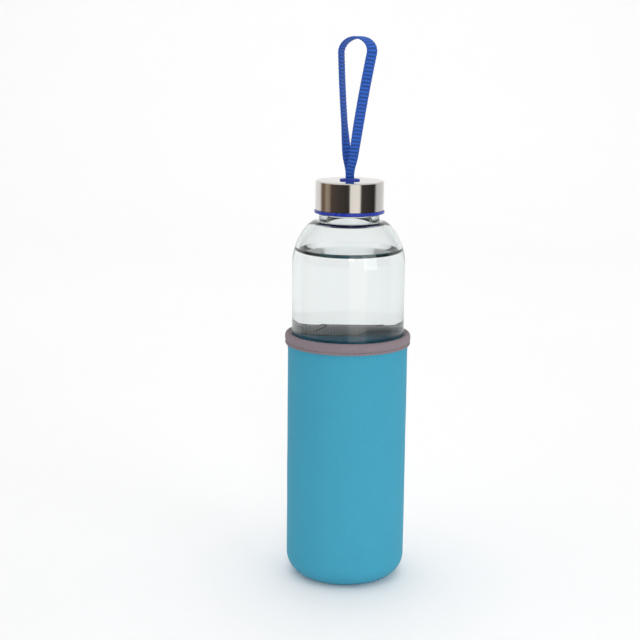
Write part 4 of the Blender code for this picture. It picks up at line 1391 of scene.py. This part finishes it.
class BOTTLE_OT_studio(bpy.types.Operator):
    """Set the pale floor, the soft lights, the surroundings and the camera"""

    bl_idname = "bottle.studio"
    bl_label = "Studio"

    def execute(self, context):
        colours = context.scene.bottle_colours
        self.floor(colours)
        self.surroundings(context)
        self.lights()
        self.camera(context)
        context.scene.view_settings.view_transform = "Standard"
        # Glass, drink and glass again are a dozen surfaces before the light reaches the sleeve.
        context.scene.cycles.max_bounces = 64
        context.scene.cycles.transmission_bounces = 64
        context.scene.cycles.diffuse_bounces = 8
        return {"FINISHED"}

    def floor(self, colours):
        """A floor that sweeps up into a backdrop."""
        reach, back, radius, height = 5.0, 2.2, 0.9, 3.2
        curve = arc((back - radius, radius), radius, -90, 0, 24)
        outline = [(-reach, 0.0), (0.0, 0.0), *curve, (back, height)]
        bm = bmesh.new()
        verts = [bm.verts.new((-reach, y, z)) for y, z in outline]
        edges = [bm.edges.new(pair) for pair in zip(verts, verts[1:])]
        made = bmesh.ops.extrude_edge_only(bm, edges=edges)["geom"]
        bmesh.ops.translate(
            bm, verts=[g for g in made if isinstance(g, bmesh.types.BMVert)], vec=(2 * reach, 0, 0)
        )
        floor = piece("studio_sweep", bm, sharp=0)
        if floor.data.polygons[0].normal.z < 0:
            floor.data.flip_normals()
        floor.data.materials.append(floor_material(colours))
        floor.visible_glossy = False

    def surroundings(self, context):
        """A white sky, and below it the dark and tan flats and the low light that the steel mirrors."""
        world = bpy.data.worlds.new("studio")
        world.use_nodes = True
        context.scene.world = world
        tree = world.node_tree
        background = tree.nodes["Background"]
        direction = add(tree, "ShaderNodeTexCoord").outputs["Generated"]
        parts = add(tree, "ShaderNodeSeparateXYZ", {"Vector": direction})
        toward = math_node(tree, "MULTIPLY", parts.outputs[1], -1.0)
        azimuth = math_node(tree, "ARCTAN2", parts.outputs[0], toward)
        share = math_node(tree, "MULTIPLY_ADD", azimuth, 1 / math.tau, 0.5)
        ramp = add(tree, "ShaderNodeValToRGB", {"Fac": share})
        # Degrees to the right of the camera's side, and the colour there.
        stops = (
            (-180, (0.95, 0.95, 0.95)),
            (-118, (0.95, 0.94, 0.93)),
            (-106, (0.22, 0.15, 0.11)),
            (-92, (0.2, 0.14, 0.1)),
            (-86, (0.42, 0.33, 0.26)),
            (-72, (0.36, 0.28, 0.22)),
            (-64, (0.1, 0.075, 0.06)),
            (-1, (0.035, 0.033, 0.032)),
            (4, (1.1, 1.06, 1.0)),
            (34, (1.1, 1.06, 1.0)),
            (40, (0.06, 0.055, 0.05)),
            (92, (0.03, 0.028, 0.027)),
            (104, (0.75, 0.74, 0.73)),
            (180, (0.95, 0.95, 0.95)),
        )
        bands = ramp.color_ramp.elements
        bands[0].color, bands[1].color = (*stops[0][1], 1), (*stops[-1][1], 1)
        for degrees, colour in stops[1:-1]:
            bands.new(degrees / 360 + 0.5).color = (*colour, 1)
        low = add(
            tree,
            "ShaderNodeMapRange",
            {"Value": parts.outputs[2], "From Min": 0.6, "From Max": 0.25},
            interpolation_type="SMOOTHSTEP",
        )
        rays = add(tree, "ShaderNodeLightPath")
        mirrored = math_node(tree, "MULTIPLY", low.outputs[0], rays.outputs["Is Glossy Ray"])
        lighting, seen = (0.85, 0.85, 0.85, 1.0), (0.93, 0.93, 0.93, 1.0)  # the sky's white
        sky = mixed(tree, rays.outputs["Is Camera Ray"], lighting, seen)
        tree.links.new(mixed(tree, mirrored, sky, ramp.outputs[0]), background.inputs["Color"])

    def lights(self):
        """Large soft lights round the bottle, and a narrow one that lifts its foot out of the shade."""
        # Metres, watts and degrees.
        for name, place, target, breadth, power, spread in (
            ("key_light", (1.2, -1.1, 0.4), (0, 0, 0.15), 0.9, 6.0, 180),
            ("fill_light", (-1.2, -1.0, 0.9), (0, 0, 0.15), 1.1, 0.6, 180),
            ("overhead_light", (0.0, 0.9, 2.2), (0, 1.1, 0), 2.0, 14.0, 180),
            ("foot_light", (0.12, -1.2, 0.42), (0, 0, 0), 0.3, 0.045, 14),
        ):
            data = bpy.data.lights.new(name, "AREA")
            data.energy = power
            data.size = breadth
            data.spread = math.radians(spread)
            light = bpy.data.objects.new(name, data)
            light.location = place
            light.rotation_euler = (Vector(target) - light.location).to_track_quat("-Z", "Y").to_euler()
            light.visible_glossy = False
            bpy.context.scene.collection.objects.link(light)

    def camera(self, context):
        """A short telephoto view from a little above the cap, rolled very slightly."""
        yaw, pitch, roll = (math.radians(a) for a in (1.16, 78.56, 0.56))
        turn = Matrix.Rotation(yaw, 4, "Z") @ Matrix.Rotation(pitch, 4, "X") @ Matrix.Rotation(roll, 4, "Z")
        data = bpy.data.cameras.new("camera")
        data.lens = 79.0
        data.sensor_width = 36.0
        data.clip_end = 20
        place = (0, -0.8, 0.3147)
        camera = bpy.data.objects.new("camera", data)
        camera.matrix_world = Matrix.Translation(place) @ turn
        context.scene.collection.objects.link(camera)
        context.scene.camera = camera


class BOTTLE_PT_panel(bpy.types.Panel):
    """The bottle's pieces, sizes and colours"""

    bl_idname = "BOTTLE_PT_panel"
    bl_label = "Glass Water Bottle"
    bl_space_type = "VIEW_3D"
    bl_region_type = "UI"
    bl_category = "Bottle"

    def draw(self, context):
        for operator in OPERATORS:
            self.layout.operator(operator.bl_idname)
        for group_of in (context.scene.bottle_sizes, context.scene.bottle_colours):
            box = self.layout.box()
            for name in group_of.__annotations__:
                box.prop(group_of, name)


OPERATORS = (
    BOTTLE_OT_glass,
    BOTTLE_OT_water,
    BOTTLE_OT_shell,
    BOTTLE_OT_liner,
    BOTTLE_OT_seal,
    BOTTLE_OT_grommet,
    BOTTLE_OT_bar,
    BOTTLE_OT_strap,
    BOTTLE_OT_sleeve,
    BOTTLE_OT_tape,
    BOTTLE_OT_stitches,
    BOTTLE_OT_studio,
)
CLASSES = (BottleSizes, BottleColours, *OPERATORS, BOTTLE_PT_panel)


def register():
    for cls in CLASSES:
        bpy.utils.register_class(cls)
    bpy.types.Scene.bottle_sizes = PointerProperty(type=BottleSizes)
    bpy.types.Scene.bottle_colours = PointerProperty(type=BottleColours)


def unregister():
    del bpy.types.Scene.bottle_colours
    del bpy.types.Scene.bottle_sizes
    for cls in reversed(CLASSES):
        bpy.utils.unregister_class(cls)


def main():
    register()
    bpy.ops.bottle.glass()
    bpy.ops.bottle.water()
    bpy.ops.bottle.shell()
    bpy.ops.bottle.liner()
    bpy.ops.bottle.seal()
    bpy.ops.bottle.grommet()
    bpy.ops.bottle.bar()
    bpy.ops.bottle.strap()
    bpy.ops.bottle.sleeve()
    bpy.ops.bottle.tape()
    bpy.ops.bottle.stitches()
    bpy.ops.bottle.studio()


if __name__ == "__main__":
    main()
